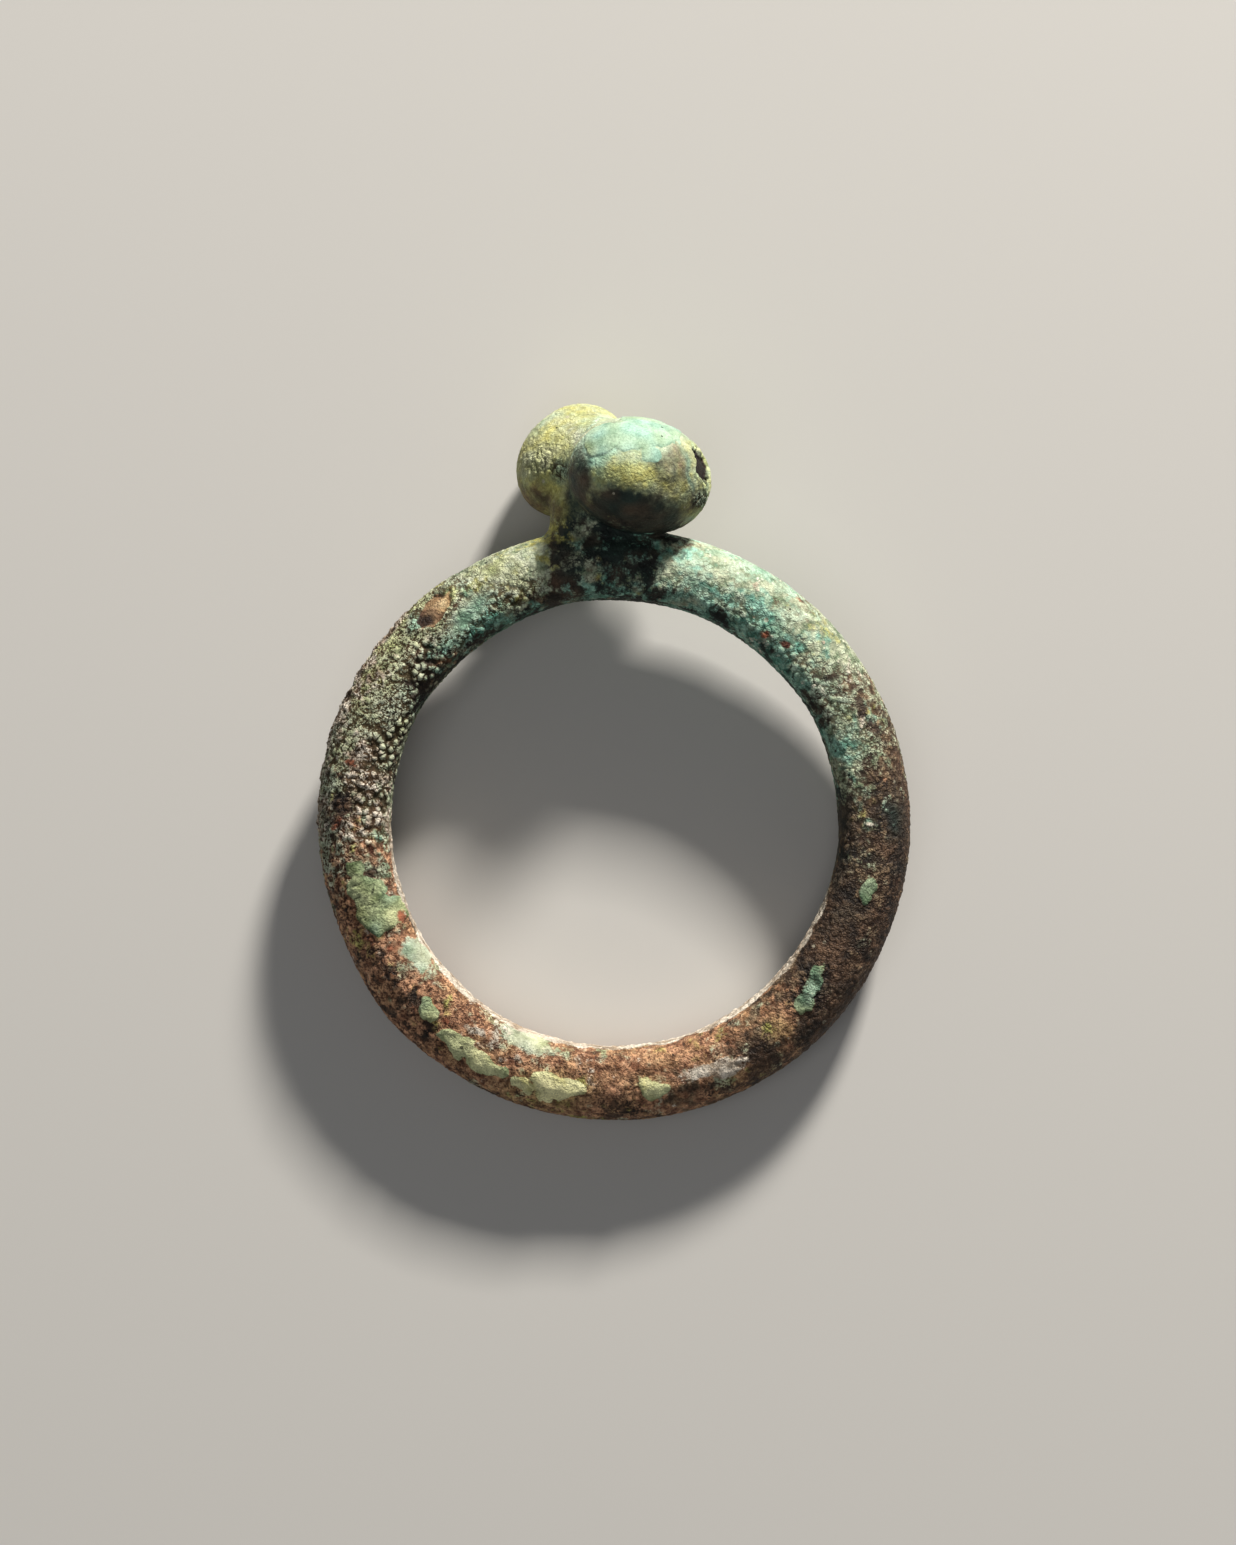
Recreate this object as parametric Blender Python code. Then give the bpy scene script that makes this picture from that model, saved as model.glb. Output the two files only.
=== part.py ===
"""Amulet ring: a cast bronze hoop that carries a double-globe bezel on a short neck.

The ring is shaped upright, with x across it, y up from the hoop's centre to the bezel and z to its front.
An empty then turns it on its back, in the attitude in which it comes to rest on a level surface by itself:
the rear globe and the far end of the hoop touch the surface, and a small worn flat marks each place.
The world origin is the middle of the ring's footprint, at the level of that surface, and +Z is up.
"""

import math

import bpy
import numpy as np
from mathutils import Vector

MM = 0.001

# Hoop: the bore is the finger hole, the rim is the hoop's outermost circle.
BORE_RADIUS = 10.55 * MM
HOOP_THICKNESS = 3.4 * MM
HOOP_WIDTH = 3.7 * MM
SHOULDER_WIDTH = 4.1 * MM
SHOULDER_REACH = math.radians(26)
WIDEST_SHARE = 0.46
RIM_ROUNDNESS = 2.1
BORE_ROUNDNESS = 3.2

# Bezel: two globes on one slanting axis. Rises are above the rim, sides along x, depths along z. A globe's
# length runs along the axis; its long and short radii lie across it, the long one turned up by the lean.
REAR_GLOBE_RISE = 3.3 * MM
REAR_GLOBE_SIDE = -1.96 * MM
REAR_GLOBE_DEPTH = -1.95 * MM
REAR_GLOBE_HALF_LENGTH = 2.5 * MM
REAR_GLOBE_LONG_RADIUS = 2.98 * MM
REAR_GLOBE_SHORT_RADIUS = 2.4 * MM
REAR_GLOBE_LEAN = math.radians(48)
FRONT_GLOBE_RISE = 2.4 * MM
FRONT_GLOBE_SIDE = 1.24 * MM
FRONT_GLOBE_DEPTH = 1.95 * MM
FRONT_GLOBE_HALF_LENGTH = 2.85 * MM
FRONT_GLOBE_LONG_RADIUS = 3.68 * MM
FRONT_GLOBE_SHORT_RADIUS = 2.7 * MM
FRONT_GLOBE_LEAN = math.radians(-11)
WAIST_RADIUS = 2.35 * MM
WAIST_BLEND = 6

# Neck: a short block whose foot runs out over the hoop in a hollow curve, and whose head narrows into the bezel.
NECK_SIDE = -0.42 * MM
NECK_HALF_WIDTH = 2.6 * MM
NECK_HALF_DEPTH = 1.5 * MM
NECK_ROUNDNESS = 2.6
FOOT_REACH = 0.8 * MM
FOOT_SPREAD = 0.4 * MM
FOOT_RISE = 0.6 * MM
FOOT_SINK = 0.1 * MM
NECK_WALL_RISE = 0.8 * MM
NECK_HEAD_SHARE = 0.35

# Worn places where the ring lies on a surface.
WORN_DEPTH = 0.05 * MM

# The search for the attitude at rest: the first and the smallest change that it tries in a slope.
FIRST_LEAN_STEP = 0.1
LAST_LEAN_STEP = 1e-7

# Faces round the hoop, round its section, round the bezel and along it, round the neck and up it.
HOOP_STATIONS = 108
SECTION_POINTS = 24
BEZEL_POINTS = 36
BEZEL_STATIONS = 28
NECK_POINTS = 36
FOOT_STATIONS = 6
HEAD_STATIONS = 5

# Dents and swells of the hoop: the middle and the half-width of each in degrees, counted from +x
# towards the bezel, then how far the bore and the rim move outwards there, as shares of the thickness.
DENTS = [
    (30, 16, 0.025, 0.000),
    (68, 12, 0.015, 0.005),
    (102, 10, 0.040, 0.000),
    (127, 8, 0.000, 0.030),
    (150, 8, 0.035, 0.005),
    (162, 10, 0.000, 0.025),
    (200, 12, -0.015, -0.030),
    (222, 9, -0.015, 0.020),
    (262, 26, -0.015, 0.000),
    (316, 18, -0.025, 0.010),
    (355, 9, 0.030, 0.010),
]


def signed_power(values, exponent):
    """Each value's size raised to the exponent, with its own sign kept."""
    return np.sign(values) * np.abs(values) ** exponent


def grid_faces(rows, columns, closed_rows):
    """Four-sided faces of a grid of points whose columns close round, and whose rows may close too."""
    row = np.arange(rows if closed_rows else rows - 1)[:, None]
    column = np.arange(columns)[None, :]
    next_row = (row + 1) % rows
    next_column = (column + 1) % columns
    corners = [
        row * columns + column,
        row * columns + next_column,
        next_row * columns + next_column,
        next_row * columns + column,
    ]
    return np.stack(corners, axis=-1).reshape(-1, 4).tolist()


def skin(name, points, closed_rows):
    """A mesh object over a grid of points; the first and last rows of an open grid get a flat cap each."""
    rows, columns, _ = points.shape
    faces = grid_faces(rows, columns, closed_rows)
    if not closed_rows:
        faces.append(list(range(columns))[::-1])
        faces.append([(rows - 1) * columns + i for i in range(columns)])
    mesh = bpy.data.meshes.new(name)
    mesh.from_pydata(points.reshape(-1, 3).tolist(), [], faces)
    mesh.shade_smooth()
    obj = bpy.data.objects.new(name, mesh)
    bpy.context.scene.collection.objects.link(obj)
    return obj


def helper(obj):
    """Marks an object as a tool that shapes the ring and isn't part of it."""
    obj.hide_render = True
    obj.display_type = "WIRE"
    return obj


def dent_shares(angles):
    """How far the bore and the rim move outwards at each angle, as shares of the thickness."""
    middle, half_width, bore, rim = np.array(DENTS).T
    turn = np.radians(middle)
    apart = np.abs((angles[:, None] - turn + math.pi) % (2 * math.pi) - math.pi)
    swell = np.exp(-((apart / np.radians(half_width)) ** 2))
    return swell @ bore, swell @ rim


def hoop_half_width(from_bezel):
    """Half the hoop's width along the finger, which swells a little towards the bezel."""
    widening = (SHOULDER_WIDTH - HOOP_WIDTH) * np.exp(-((from_bezel / SHOULDER_REACH) ** 2))
    return (HOOP_WIDTH + widening) / 2


def make_hoop():
    """The hoop: a section with a rounded rim side and a flatter bore side, carried round the finger hole."""
    angle = np.linspace(0, 2 * math.pi, HOOP_STATIONS, endpoint=False)
    bore_share, rim_share = dent_shares(angle)
    bore = BORE_RADIUS + HOOP_THICKNESS * bore_share
    rim = BORE_RADIUS + HOOP_THICKNESS * (1 + rim_share)
    middle = bore + (rim - bore) * WIDEST_SHARE

    turn = np.linspace(0, 2 * math.pi, SECTION_POINTS, endpoint=False)
    roundness = np.where(np.cos(turn) > 0, RIM_ROUNDNESS, BORE_ROUNDNESS)
    outward = signed_power(np.cos(turn), 2 / roundness)
    along = signed_power(np.sin(turn), 2 / roundness)
    reach = np.where(outward > 0, (rim - middle)[:, None], (middle - bore)[:, None])
    radius = middle[:, None] + outward * reach
    depth = hoop_half_width(angle - math.pi / 2)[:, None] * along
    points = np.stack(
        [
            radius * np.cos(angle)[:, None],
            radius * np.sin(angle)[:, None],
            depth,
        ],
        axis=-1,
    )
    return skin("amulet_ring", points, closed_rows=True)


def globe_shares(along, centre, half_length):
    """A globe's size at each place along its axis, as a share of its size at the middle, and 0 past its ends."""
    return np.sqrt(np.clip(1 - ((along - centre) / half_length) ** 2, 0, None))


def oval(round_angle, long_radius, short_radius, lean):
    """How far an ellipse with a leaning long axis reaches in each direction round its centre."""
    turned = round_angle - lean
    return 1 / np.hypot(np.cos(turned) / long_radius, np.sin(turned) / short_radius)


def make_bezel():
    """The bezel: two globes and the waist between them as one skin round the slanting axis."""
    rim = BORE_RADIUS + HOOP_THICKNESS
    rear = np.array([REAR_GLOBE_SIDE, rim + REAR_GLOBE_RISE, REAR_GLOBE_DEPTH])
    front = np.array([FRONT_GLOBE_SIDE, rim + FRONT_GLOBE_RISE, FRONT_GLOBE_DEPTH])
    spacing = np.linalg.norm(front - rear)
    axis = (front - rear) / spacing
    up = np.array([0.0, 1.0, 0.0])
    up = up - axis * (up @ axis)
    up = up / np.linalg.norm(up)
    across = np.cross(up, axis)

    low_end = -REAR_GLOBE_HALF_LENGTH
    high_end = spacing + FRONT_GLOBE_HALF_LENGTH
    turn = np.linspace(0, math.pi, BEZEL_STATIONS + 1)[1:-1]
    along = (low_end + high_end) / 2 - (high_end - low_end) / 2 * np.cos(turn)
    round_angle = np.linspace(0, 2 * math.pi, BEZEL_POINTS, endpoint=False)
    rear_oval = oval(round_angle, REAR_GLOBE_LONG_RADIUS, REAR_GLOBE_SHORT_RADIUS, REAR_GLOBE_LEAN)
    front_oval = oval(round_angle, FRONT_GLOBE_LONG_RADIUS, FRONT_GLOBE_SHORT_RADIUS, FRONT_GLOBE_LEAN)
    sizes = np.stack(
        [
            np.outer(globe_shares(along, 0, REAR_GLOBE_HALF_LENGTH), rear_oval),
            np.outer(globe_shares(along, spacing, FRONT_GLOBE_HALF_LENGTH), front_oval),
            np.outer(globe_shares(along, spacing / 2, spacing / 2), np.full(BEZEL_POINTS, WAIST_RADIUS)),
        ]
    )
    size = np.sum(sizes**WAIST_BLEND, axis=0) ** (1 / WAIST_BLEND)
    points = (
        rear
        + along[:, None, None] * axis
        + (size * np.cos(round_angle))[..., None] * across
        + (size * np.sin(round_angle))[..., None] * up
    )
    return helper(skin("bezel", points, closed_rows=False))


def hoop_top(side, depth):
    """The height of the hoop's rim side over each place under the bezel, without its dents."""
    middle = BORE_RADIUS + HOOP_THICKNESS * WIDEST_SHARE
    reach = HOOP_THICKNESS * (1 - WIDEST_SHARE)
    half_width = hoop_half_width(np.arcsin(side / (middle + reach)))
    share = np.clip(np.abs(depth) / half_width, 0, 1)
    radius = middle + reach * (1 - share**RIM_ROUNDNESS) ** (1 / RIM_ROUNDNESS)
    return np.sqrt(radius**2 - side**2)


def make_neck():
    """The neck: upright walls that stand on the hoop, turned outwards at the foot and drawn in at the head.

    A wall's foot is a quadratic curve: it starts on the hoop at the grown outline, aims at the corner where
    the upright wall would meet the hoop, and ends on the wall one foot rise above that corner. Its head is
    another, from the top of the wall, aiming straight up, to the smaller outline inside the bezel.
    """
    round_angle = np.linspace(0, 2 * math.pi, NECK_POINTS, endpoint=False)
    sideways = signed_power(np.cos(round_angle), 2 / NECK_ROUNDNESS)
    forwards = signed_power(np.sin(round_angle), 2 / NECK_ROUNDNESS)

    def outline(reach=0, spread=0, share=1):
        side = NECK_SIDE + (NECK_HALF_WIDTH + reach) * share * sideways
        depth = (NECK_HALF_DEPTH + spread) * share * forwards
        return side, depth

    def ring(side, height, depth):
        return np.stack(np.broadcast_arrays(side, height, depth), axis=-1)

    def curve(start, aim, end, stations):
        share = np.linspace(0, 1, stations)[:, None, None]
        return (1 - share) ** 2 * start + 2 * share * (1 - share) * aim + share**2 * end

    side, depth = outline()
    corner = ring(side, hoop_top(side, depth), depth)
    wall = corner + np.array([0, FOOT_RISE, 0])
    side, depth = outline(FOOT_REACH, FOOT_SPREAD)
    foot = ring(side, hoop_top(side, depth) - FOOT_SINK, depth)
    rim = BORE_RADIUS + HOOP_THICKNESS
    side, depth = outline()
    root = ring(side, BORE_RADIUS + HOOP_THICKNESS * WIDEST_SHARE, depth)
    shoulder = ring(side, rim + NECK_WALL_RISE, depth)
    head_height = rim + min(REAR_GLOBE_RISE, FRONT_GLOBE_RISE)
    aim = ring(side, head_height, depth)
    side, depth = outline(share=NECK_HEAD_SHARE)
    head = ring(side, head_height, depth)
    points = np.concatenate(
        [
            root[None],
            curve(foot, corner, wall, FOOT_STATIONS),
            curve(shoulder, aim, head, HEAD_STATIONS),
        ]
    )
    return helper(skin("neck", points[:, ::-1], closed_rows=False))


def add_boolean(obj, other, operation):
    """Joins another closed object to this one, or cuts it away."""
    modifier = obj.modifiers.new(f"{operation.lower()} {other.name}", "BOOLEAN")
    modifier.object = other
    modifier.operation = operation
    modifier.solver = "EXACT"


def evaluated_triangles(obj):
    """The corners of the object's triangles, with its modifiers, in its own coordinates."""
    graph = bpy.context.evaluated_depsgraph_get()
    evaluated = obj.evaluated_get(graph)
    mesh = evaluated.to_mesh()
    mesh.calc_loop_triangles()
    points = np.empty(len(mesh.vertices) * 3, np.float32)
    mesh.vertices.foreach_get("co", points)
    corners = np.empty(len(mesh.loop_triangles) * 3, np.int32)
    mesh.loop_triangles.foreach_get("vertices", corners)
    evaluated.to_mesh_clear()
    return points.reshape(-1, 3).astype(float)[corners].reshape(-1, 3, 3)


def centre_of_mass(triangles):
    """The centroid of the closed solid, from the tetrahedra between each triangle and the origin."""
    volumes = np.linalg.det(triangles) / 6
    middles = triangles.sum(axis=1) / 4
    return (volumes[:, None] * middles).sum(axis=0) / volumes.sum()


def resting_up(triangles):
    """The direction, in the upright ring's coordinates, that points up when it lies still on its back.

    Of all directions near the ring's front, it is the one with the centre of mass lowest above the floor.
    """
    centre = centre_of_mass(triangles)
    points = np.unique(triangles.reshape(-1, 3), axis=0)

    def unit(lean):
        direction = np.array([lean[0], lean[1], 1.0])
        return direction / np.linalg.norm(direction)

    def height(lean):
        direction = unit(lean)
        return centre @ direction - (points @ direction).min()

    lean = np.zeros(2)
    step = FIRST_LEAN_STEP
    while step > LAST_LEAN_STEP:
        tries = [lean + step * np.array(move) for move in ((1, 0), (-1, 0), (0, 1), (0, -1))]
        best = min(tries, key=height)
        if height(best) < height(lean):
            lean = best
        else:
            step /= 2
    return Vector(unit(lean))


def lay_down(ring, parts):
    """Parents the ring and its tools to an empty that holds it at rest, and planes off the worn flats."""
    triangles = evaluated_triangles(ring)
    turn = resting_up(triangles).rotation_difference(Vector((0, 0, 1)))
    turned = triangles.reshape(-1, 3) @ np.array(turn.to_matrix()).T
    low = turned.min(axis=0)
    high = turned.max(axis=0)
    middle = (low + high) / 2

    rest = bpy.data.objects.new("rest_attitude", None)
    bpy.context.scene.collection.objects.link(rest)
    rest.rotation_mode = "QUATERNION"
    rest.rotation_quaternion = turn
    rest.location = (-middle[0], -middle[1], -low[2] - WORN_DEPTH)
    for obj in [ring, *parts]:
        obj.parent = rest

    side = 2 * (high - low).max()
    bpy.ops.mesh.primitive_cube_add(size=side, location=(0, 0, -side / 2))
    floor = helper(bpy.context.object)
    floor.name = "floor_block"
    add_boolean(ring, floor, "DIFFERENCE")


def bronze():
    """Bronze under a mineral crust: a mixed green and brown, matt, with little bare metal."""
    material = bpy.data.materials.new("patinated_bronze")
    material.use_nodes = True
    shader = material.node_tree.nodes["Principled BSDF"]
    shader.inputs["Base Color"].default_value = (0.17, 0.19, 0.13, 1)
    shader.inputs["Metallic"].default_value = 0.15
    shader.inputs["Roughness"].default_value = 0.75
    return material


def main():
    """Clears the scene, then makes the ring and its tools, joins them and lays the ring down."""
    for obj in list(bpy.data.objects):
        bpy.data.objects.remove(obj)
    ring = make_hoop()
    neck = make_neck()
    bezel = make_bezel()
    add_boolean(ring, neck, "UNION")
    add_boolean(ring, bezel, "UNION")
    ring.data.materials.append(bronze())
    lay_down(ring, [neck, bezel])


main()
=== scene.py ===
# %% [markdown]
# # An amulet ring under its corrosion crust
#
# The real ring is one casting of tin bronze: a plain round hoop, and a bezel of two joined globes on a short
# neck. It lay in the ground for a long time. Hardly any metal shows: the skin is a crust of copper and tin
# minerals, grainy in some places, smooth in others, green, turquoise, yellow, red-brown and chalky white.
#
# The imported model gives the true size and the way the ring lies. This lesson makes the skin that is seen,
# in three steps: a smooth form, a relief of real grains and scars, and a finish that knows which mineral
# lies where. The form is drawn in millimetres round the hoop's centre: x across, y up to the bezel and z
# towards the ring's front.

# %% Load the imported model
import functools
import itertools
import math

import bpy
import numpy as np
from mathutils import Matrix, Vector


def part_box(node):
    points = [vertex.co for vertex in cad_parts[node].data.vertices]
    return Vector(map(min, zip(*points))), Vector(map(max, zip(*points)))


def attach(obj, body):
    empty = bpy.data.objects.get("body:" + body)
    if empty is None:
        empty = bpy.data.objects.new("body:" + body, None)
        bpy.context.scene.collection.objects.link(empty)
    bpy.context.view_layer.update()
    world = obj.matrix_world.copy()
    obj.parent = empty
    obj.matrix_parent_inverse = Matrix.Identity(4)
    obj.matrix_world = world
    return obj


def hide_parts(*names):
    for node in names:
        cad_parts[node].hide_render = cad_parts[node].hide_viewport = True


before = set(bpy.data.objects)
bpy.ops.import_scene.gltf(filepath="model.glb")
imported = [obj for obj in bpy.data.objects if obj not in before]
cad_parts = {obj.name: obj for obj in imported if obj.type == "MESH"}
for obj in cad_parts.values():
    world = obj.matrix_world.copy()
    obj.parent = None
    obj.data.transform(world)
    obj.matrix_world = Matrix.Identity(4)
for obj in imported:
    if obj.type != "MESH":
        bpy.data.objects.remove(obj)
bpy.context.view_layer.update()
MM = 0.001

# %% [markdown]
# ## How the ring lies
#
# A ring like this doesn't lie flat on its side. The rear globe reaches further back than the hoop, so the
# ring rests on that globe and on the far end of the hoop, and leans by five degrees. The direction that the
# front faces is all it takes to turn the drawing: the smallest turn from straight up to this direction.

# %% From the drawing to the place where the ring lies
FRONT_FACES = Vector((0.011836, -0.087161, 0.996124))
WORN_DEPTH = 0.05
REST_TURN = np.array(Vector((0, 0, 1)).rotation_difference(FRONT_FACES).to_matrix())
ring_low, ring_high = (np.array(corner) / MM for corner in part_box("amulet_ring"))


def rest_place(smooth_points):
    """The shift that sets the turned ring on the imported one: middles match, and the lowest point sinks by
    the depth of the worn flats."""
    turned = smooth_points @ REST_TURN.T
    low, high = turned.min(axis=0), turned.max(axis=0)
    shift = (ring_low + ring_high) / 2 - (low + high) / 2
    shift[2] = ring_low[2] - low[2] - WORN_DEPTH
    return shift


# %% [markdown]
# ## The smooth hoop
#
# The hoop was cast round, then worn. Its section is rounder on the outside and flatter towards the finger.
# It could be a torus with edits, but the dents of a real casting are easier to write down than to sculpt:
# a section is carried round the finger hole, and a table moves its bore and its rim in and out. The points of
# the section are spaced by length, because grains need faces of one size everywhere.

# %% The hoop's sizes in millimetres, and its dents
BORE_RADIUS = 10.55
HOOP_THICKNESS = 3.4
RIM_RADIUS = BORE_RADIUS + HOOP_THICKNESS
HOOP_WIDTH = 3.7
SHOULDER_WIDTH = 4.1
SHOULDER_REACH = math.radians(26)
WIDEST_SHARE = 0.46
RIM_ROUNDNESS = 2.1
BORE_ROUNDNESS = 3.2
HOOP_STATIONS = 816
SECTION_POINTS = 120
FINE_SECTION_POINTS = 20001

# Middle and half-width in degrees, then the moves of bore and rim as shares of the thickness.
DENTS = np.array([
    (30, 16, 0.025, 0.000),
    (68, 12, 0.015, 0.005),
    (102, 10, 0.040, 0.000),
    (127, 8, 0.000, 0.030),
    (150, 8, 0.035, 0.005),
    (162, 10, 0.000, 0.025),
    (200, 12, -0.015, -0.030),
    (222, 9, -0.015, 0.020),
    (262, 26, -0.015, 0.000),
    (316, 18, -0.025, 0.010),
    (355, 9, 0.030, 0.010),
])


def signed_power(values, exponent):
    """Each value's size raised to the exponent, with its own sign kept."""
    return np.sign(values) * np.abs(values) ** exponent


def section(turn):
    """The section as two halves of superellipses |x|^n + |y|^n = 1: n is 2.1 outwards and 3.2 inwards."""
    roundness = np.where(np.cos(turn) > 0, RIM_ROUNDNESS, BORE_ROUNDNESS)
    return signed_power(np.cos(turn), 2 / roundness), signed_power(np.sin(turn), 2 / roundness)


def even_turns(count):
    """Places round the section an equal length apart: the running length of a very fine section, read
    backwards at equal steps."""
    fine = np.linspace(0, 2 * math.pi, FINE_SECTION_POINTS)
    outward, along = section(fine)
    outward = outward * np.where(outward > 0, 1 - WIDEST_SHARE, WIDEST_SHARE) * HOOP_THICKNESS
    step = np.hypot(np.diff(outward), np.diff(along * HOOP_WIDTH / 2))
    length = np.concatenate([[0], np.cumsum(step)])
    return np.interp(np.arange(count) / count * length[-1], length, fine)


def hoop_half_width(from_bezel):
    """Half the width along the finger: 1.85, plus 0.2 times exp(-(angle / 26 degrees) squared)."""
    return (HOOP_WIDTH + (SHOULDER_WIDTH - HOOP_WIDTH) * np.exp(-((from_bezel / SHOULDER_REACH) ** 2))) / 2


def hoop_grid():
    """The hoop as a grid that closes both ways: the section carried round the circle of the hoop."""
    angle = np.linspace(0, 2 * math.pi, HOOP_STATIONS, endpoint=False)[:, None]
    middle, half_width, bore_move, rim_move = DENTS.T
    apart = np.abs((angle - np.radians(middle) + math.pi) % (2 * math.pi) - math.pi)
    swell = np.exp(-((apart / np.radians(half_width)) ** 2))
    bore = (BORE_RADIUS + HOOP_THICKNESS * (swell @ bore_move))[:, None]
    rim = (RIM_RADIUS + HOOP_THICKNESS * (swell @ rim_move))[:, None]
    widest = bore + (rim - bore) * WIDEST_SHARE
    outward, along = section(even_turns(SECTION_POINTS))
    radius = widest + outward * np.where(outward > 0, rim - widest, widest - bore)
    depth = hoop_half_width(angle - math.pi / 2) * along
    return np.stack([radius * np.cos(angle), radius * np.sin(angle), depth], axis=-1)


smooth_hoop = hoop_grid()
print("hoop:", smooth_hoop.shape[0], "x", smooth_hoop.shape[1], "points, outer radius",
      round(float(np.hypot(smooth_hoop[..., 0], smooth_hoop[..., 1]).max()), 2), "mm")

# %% [markdown]
# ## The smooth bezel and its neck
#
# The bezel is two globes in a row on a slanting axis, the front one lower and to the right. Two joined
# spheres would do for a sketch, but the real ones are ovals that melt into each other. Here one skin runs
# round the axis: at each place it takes the larger of the two ovals and the waist, blended by a power mean,
# which rounds the hollow between them. The neck is a block with soft corners. Its foot runs out over the hoop
# in a hollow curve and dips under the hoop's skin, and its head narrows into the bezel.

# %% The bezel's sizes in millimetres
REAR_GLOBE = dict(centre=(-1.96, RIM_RADIUS + 3.3, -1.95), half_length=2.5, long=2.98, short=2.4, lean=48)
FRONT_GLOBE = dict(centre=(1.24, RIM_RADIUS + 2.4, 1.95), half_length=2.85, long=3.68, short=2.7, lean=-11)
WAIST_RADIUS = 2.35
WAIST_BLEND = 6
NECK_SIDE = -0.42
NECK_HALF_WIDTH = 2.6
NECK_HALF_DEPTH = 1.5
NECK_ROUNDNESS = 2.6
FOOT_REACH = 0.8
FOOT_SPREAD = 0.4
FOOT_RISE = 0.6
FOOT_SINK = 0.1
ROOT_SINK = 0.7
NECK_WALL_RISE = 0.8
NECK_HEAD_SHARE = 0.35
BEZEL_GRID = (200, 180)
NECK_GRID = (160, 16)


def globe_size(globe, from_middle, round_angle):
    """A globe's reach from the axis: an ellipse across it, times a half circle along it, 0 past its ends."""
    turned = round_angle - math.radians(globe["lean"])
    across = 1 / np.hypot(np.cos(turned) / globe["long"], np.sin(turned) / globe["short"])
    lengthwise = np.sqrt(np.clip(1 - (from_middle / globe["half_length"]) ** 2, 0, None))
    return lengthwise * across


def bezel_grid(stations, points):
    """Both globes as one grid round the slanting axis, from the rear pole to the front pole."""
    rear, front = np.array(REAR_GLOBE["centre"]), np.array(FRONT_GLOBE["centre"])
    spacing = np.linalg.norm(front - rear)
    axis = (front - rear) / spacing
    up = np.array([0.0, 1.0, 0.0])
    up = up - axis * (up @ axis)
    up = up / np.linalg.norm(up)
    across = np.cross(up, axis)
    low, high = -REAR_GLOBE["half_length"], spacing + FRONT_GLOBE["half_length"]
    pole_to_pole = np.linspace(0, math.pi, stations + 2)[1:-1, None]
    along = (low + high) / 2 - (high - low) / 2 * np.cos(pole_to_pole)
    round_angle = np.linspace(0, 2 * math.pi, points, endpoint=False)[None]
    waist = np.sqrt(np.clip(1 - ((along - spacing / 2) / (spacing / 2)) ** 2, 0, None)) * WAIST_RADIUS
    rear_size = globe_size(REAR_GLOBE, along, round_angle)
    front_size = globe_size(FRONT_GLOBE, along - spacing, round_angle)
    size = sum(part**WAIST_BLEND for part in (rear_size, front_size, waist)) ** (1 / WAIST_BLEND)
    return (rear + along[..., None] * axis + (size * np.cos(round_angle))[..., None] * across
            + (size * np.sin(round_angle))[..., None] * up)


def hoop_top(side, depth):
    """The height of the hoop's rim side over each place under the bezel."""
    widest = BORE_RADIUS + HOOP_THICKNESS * WIDEST_SHARE
    reach = HOOP_THICKNESS * (1 - WIDEST_SHARE)
    share = np.clip(np.abs(depth) / hoop_half_width(np.arcsin(side / (widest + reach))), 0, 1)
    return np.sqrt((widest + reach * (1 - share**RIM_ROUNDNESS) ** (1 / RIM_ROUNDNESS)) ** 2 - side**2)


def neck_grid(points, stations):
    """The neck as rings: a root inside the hoop, then two curves (1-t)²a + 2t(1-t)b + t²c, foot and head."""
    round_angle = np.linspace(0, 2 * math.pi, points, endpoint=False)[::-1]
    sideways = signed_power(np.cos(round_angle), 2 / NECK_ROUNDNESS)
    forwards = signed_power(np.sin(round_angle), 2 / NECK_ROUNDNESS)

    def ring(height, reach=0, spread=0, share=1):
        side = NECK_SIDE + (NECK_HALF_WIDTH + reach) * share * sideways
        depth = (NECK_HALF_DEPTH + spread) * share * forwards
        return np.stack(np.broadcast_arrays(side, height(side, depth), depth), axis=-1)

    def curve(start, aim, end):
        share = np.linspace(0, 1, stations)[:, None, None]
        return (1 - share) ** 2 * start + 2 * share * (1 - share) * aim + share**2 * end

    def level(rise):
        return lambda side, depth: RIM_RADIUS + rise

    head_rise = min(REAR_GLOBE["centre"][1], FRONT_GLOBE["centre"][1]) - RIM_RADIUS
    root = ring(lambda side, depth: hoop_top(side, depth) - ROOT_SINK, FOOT_REACH, FOOT_SPREAD)
    foot = ring(lambda side, depth: hoop_top(side, depth) - FOOT_SINK, FOOT_REACH, FOOT_SPREAD)
    corner = ring(hoop_top)
    wall = ring(lambda side, depth: hoop_top(side, depth) + FOOT_RISE)
    head = ring(level(head_rise), share=NECK_HEAD_SHARE)
    lower = curve(foot, corner, wall)
    upper = curve(ring(level(NECK_WALL_RISE)), ring(level(head_rise)), head)
    return np.concatenate([root[None], lower, upper])


def grid_faces(rows, columns, closed_rows, first=0):
    """Four corners for each face of a grid whose columns close round, and whose rows may close too."""
    row = np.arange(rows if closed_rows else rows - 1)[:, None]
    column = np.arange(columns)[None]
    after, beside = (row + 1) % rows, (column + 1) % columns
    around = ((row, column), (row, beside), (after, beside), (after, column))
    return np.stack([r * columns + c for r, c in around], axis=-1).reshape(-1, 4) + first


# %% [markdown]
# ## One skin for the globes and the neck
#
# On the real ring no seam shows where the neck meets the globes, because they were cast together. Grids that
# run into each other would leave a hard line and hidden walls. Blender's voxel remesh wraps them in one skin
# of even small squares, and a few rounds of averaging near the neck round the inside corners.

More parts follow.
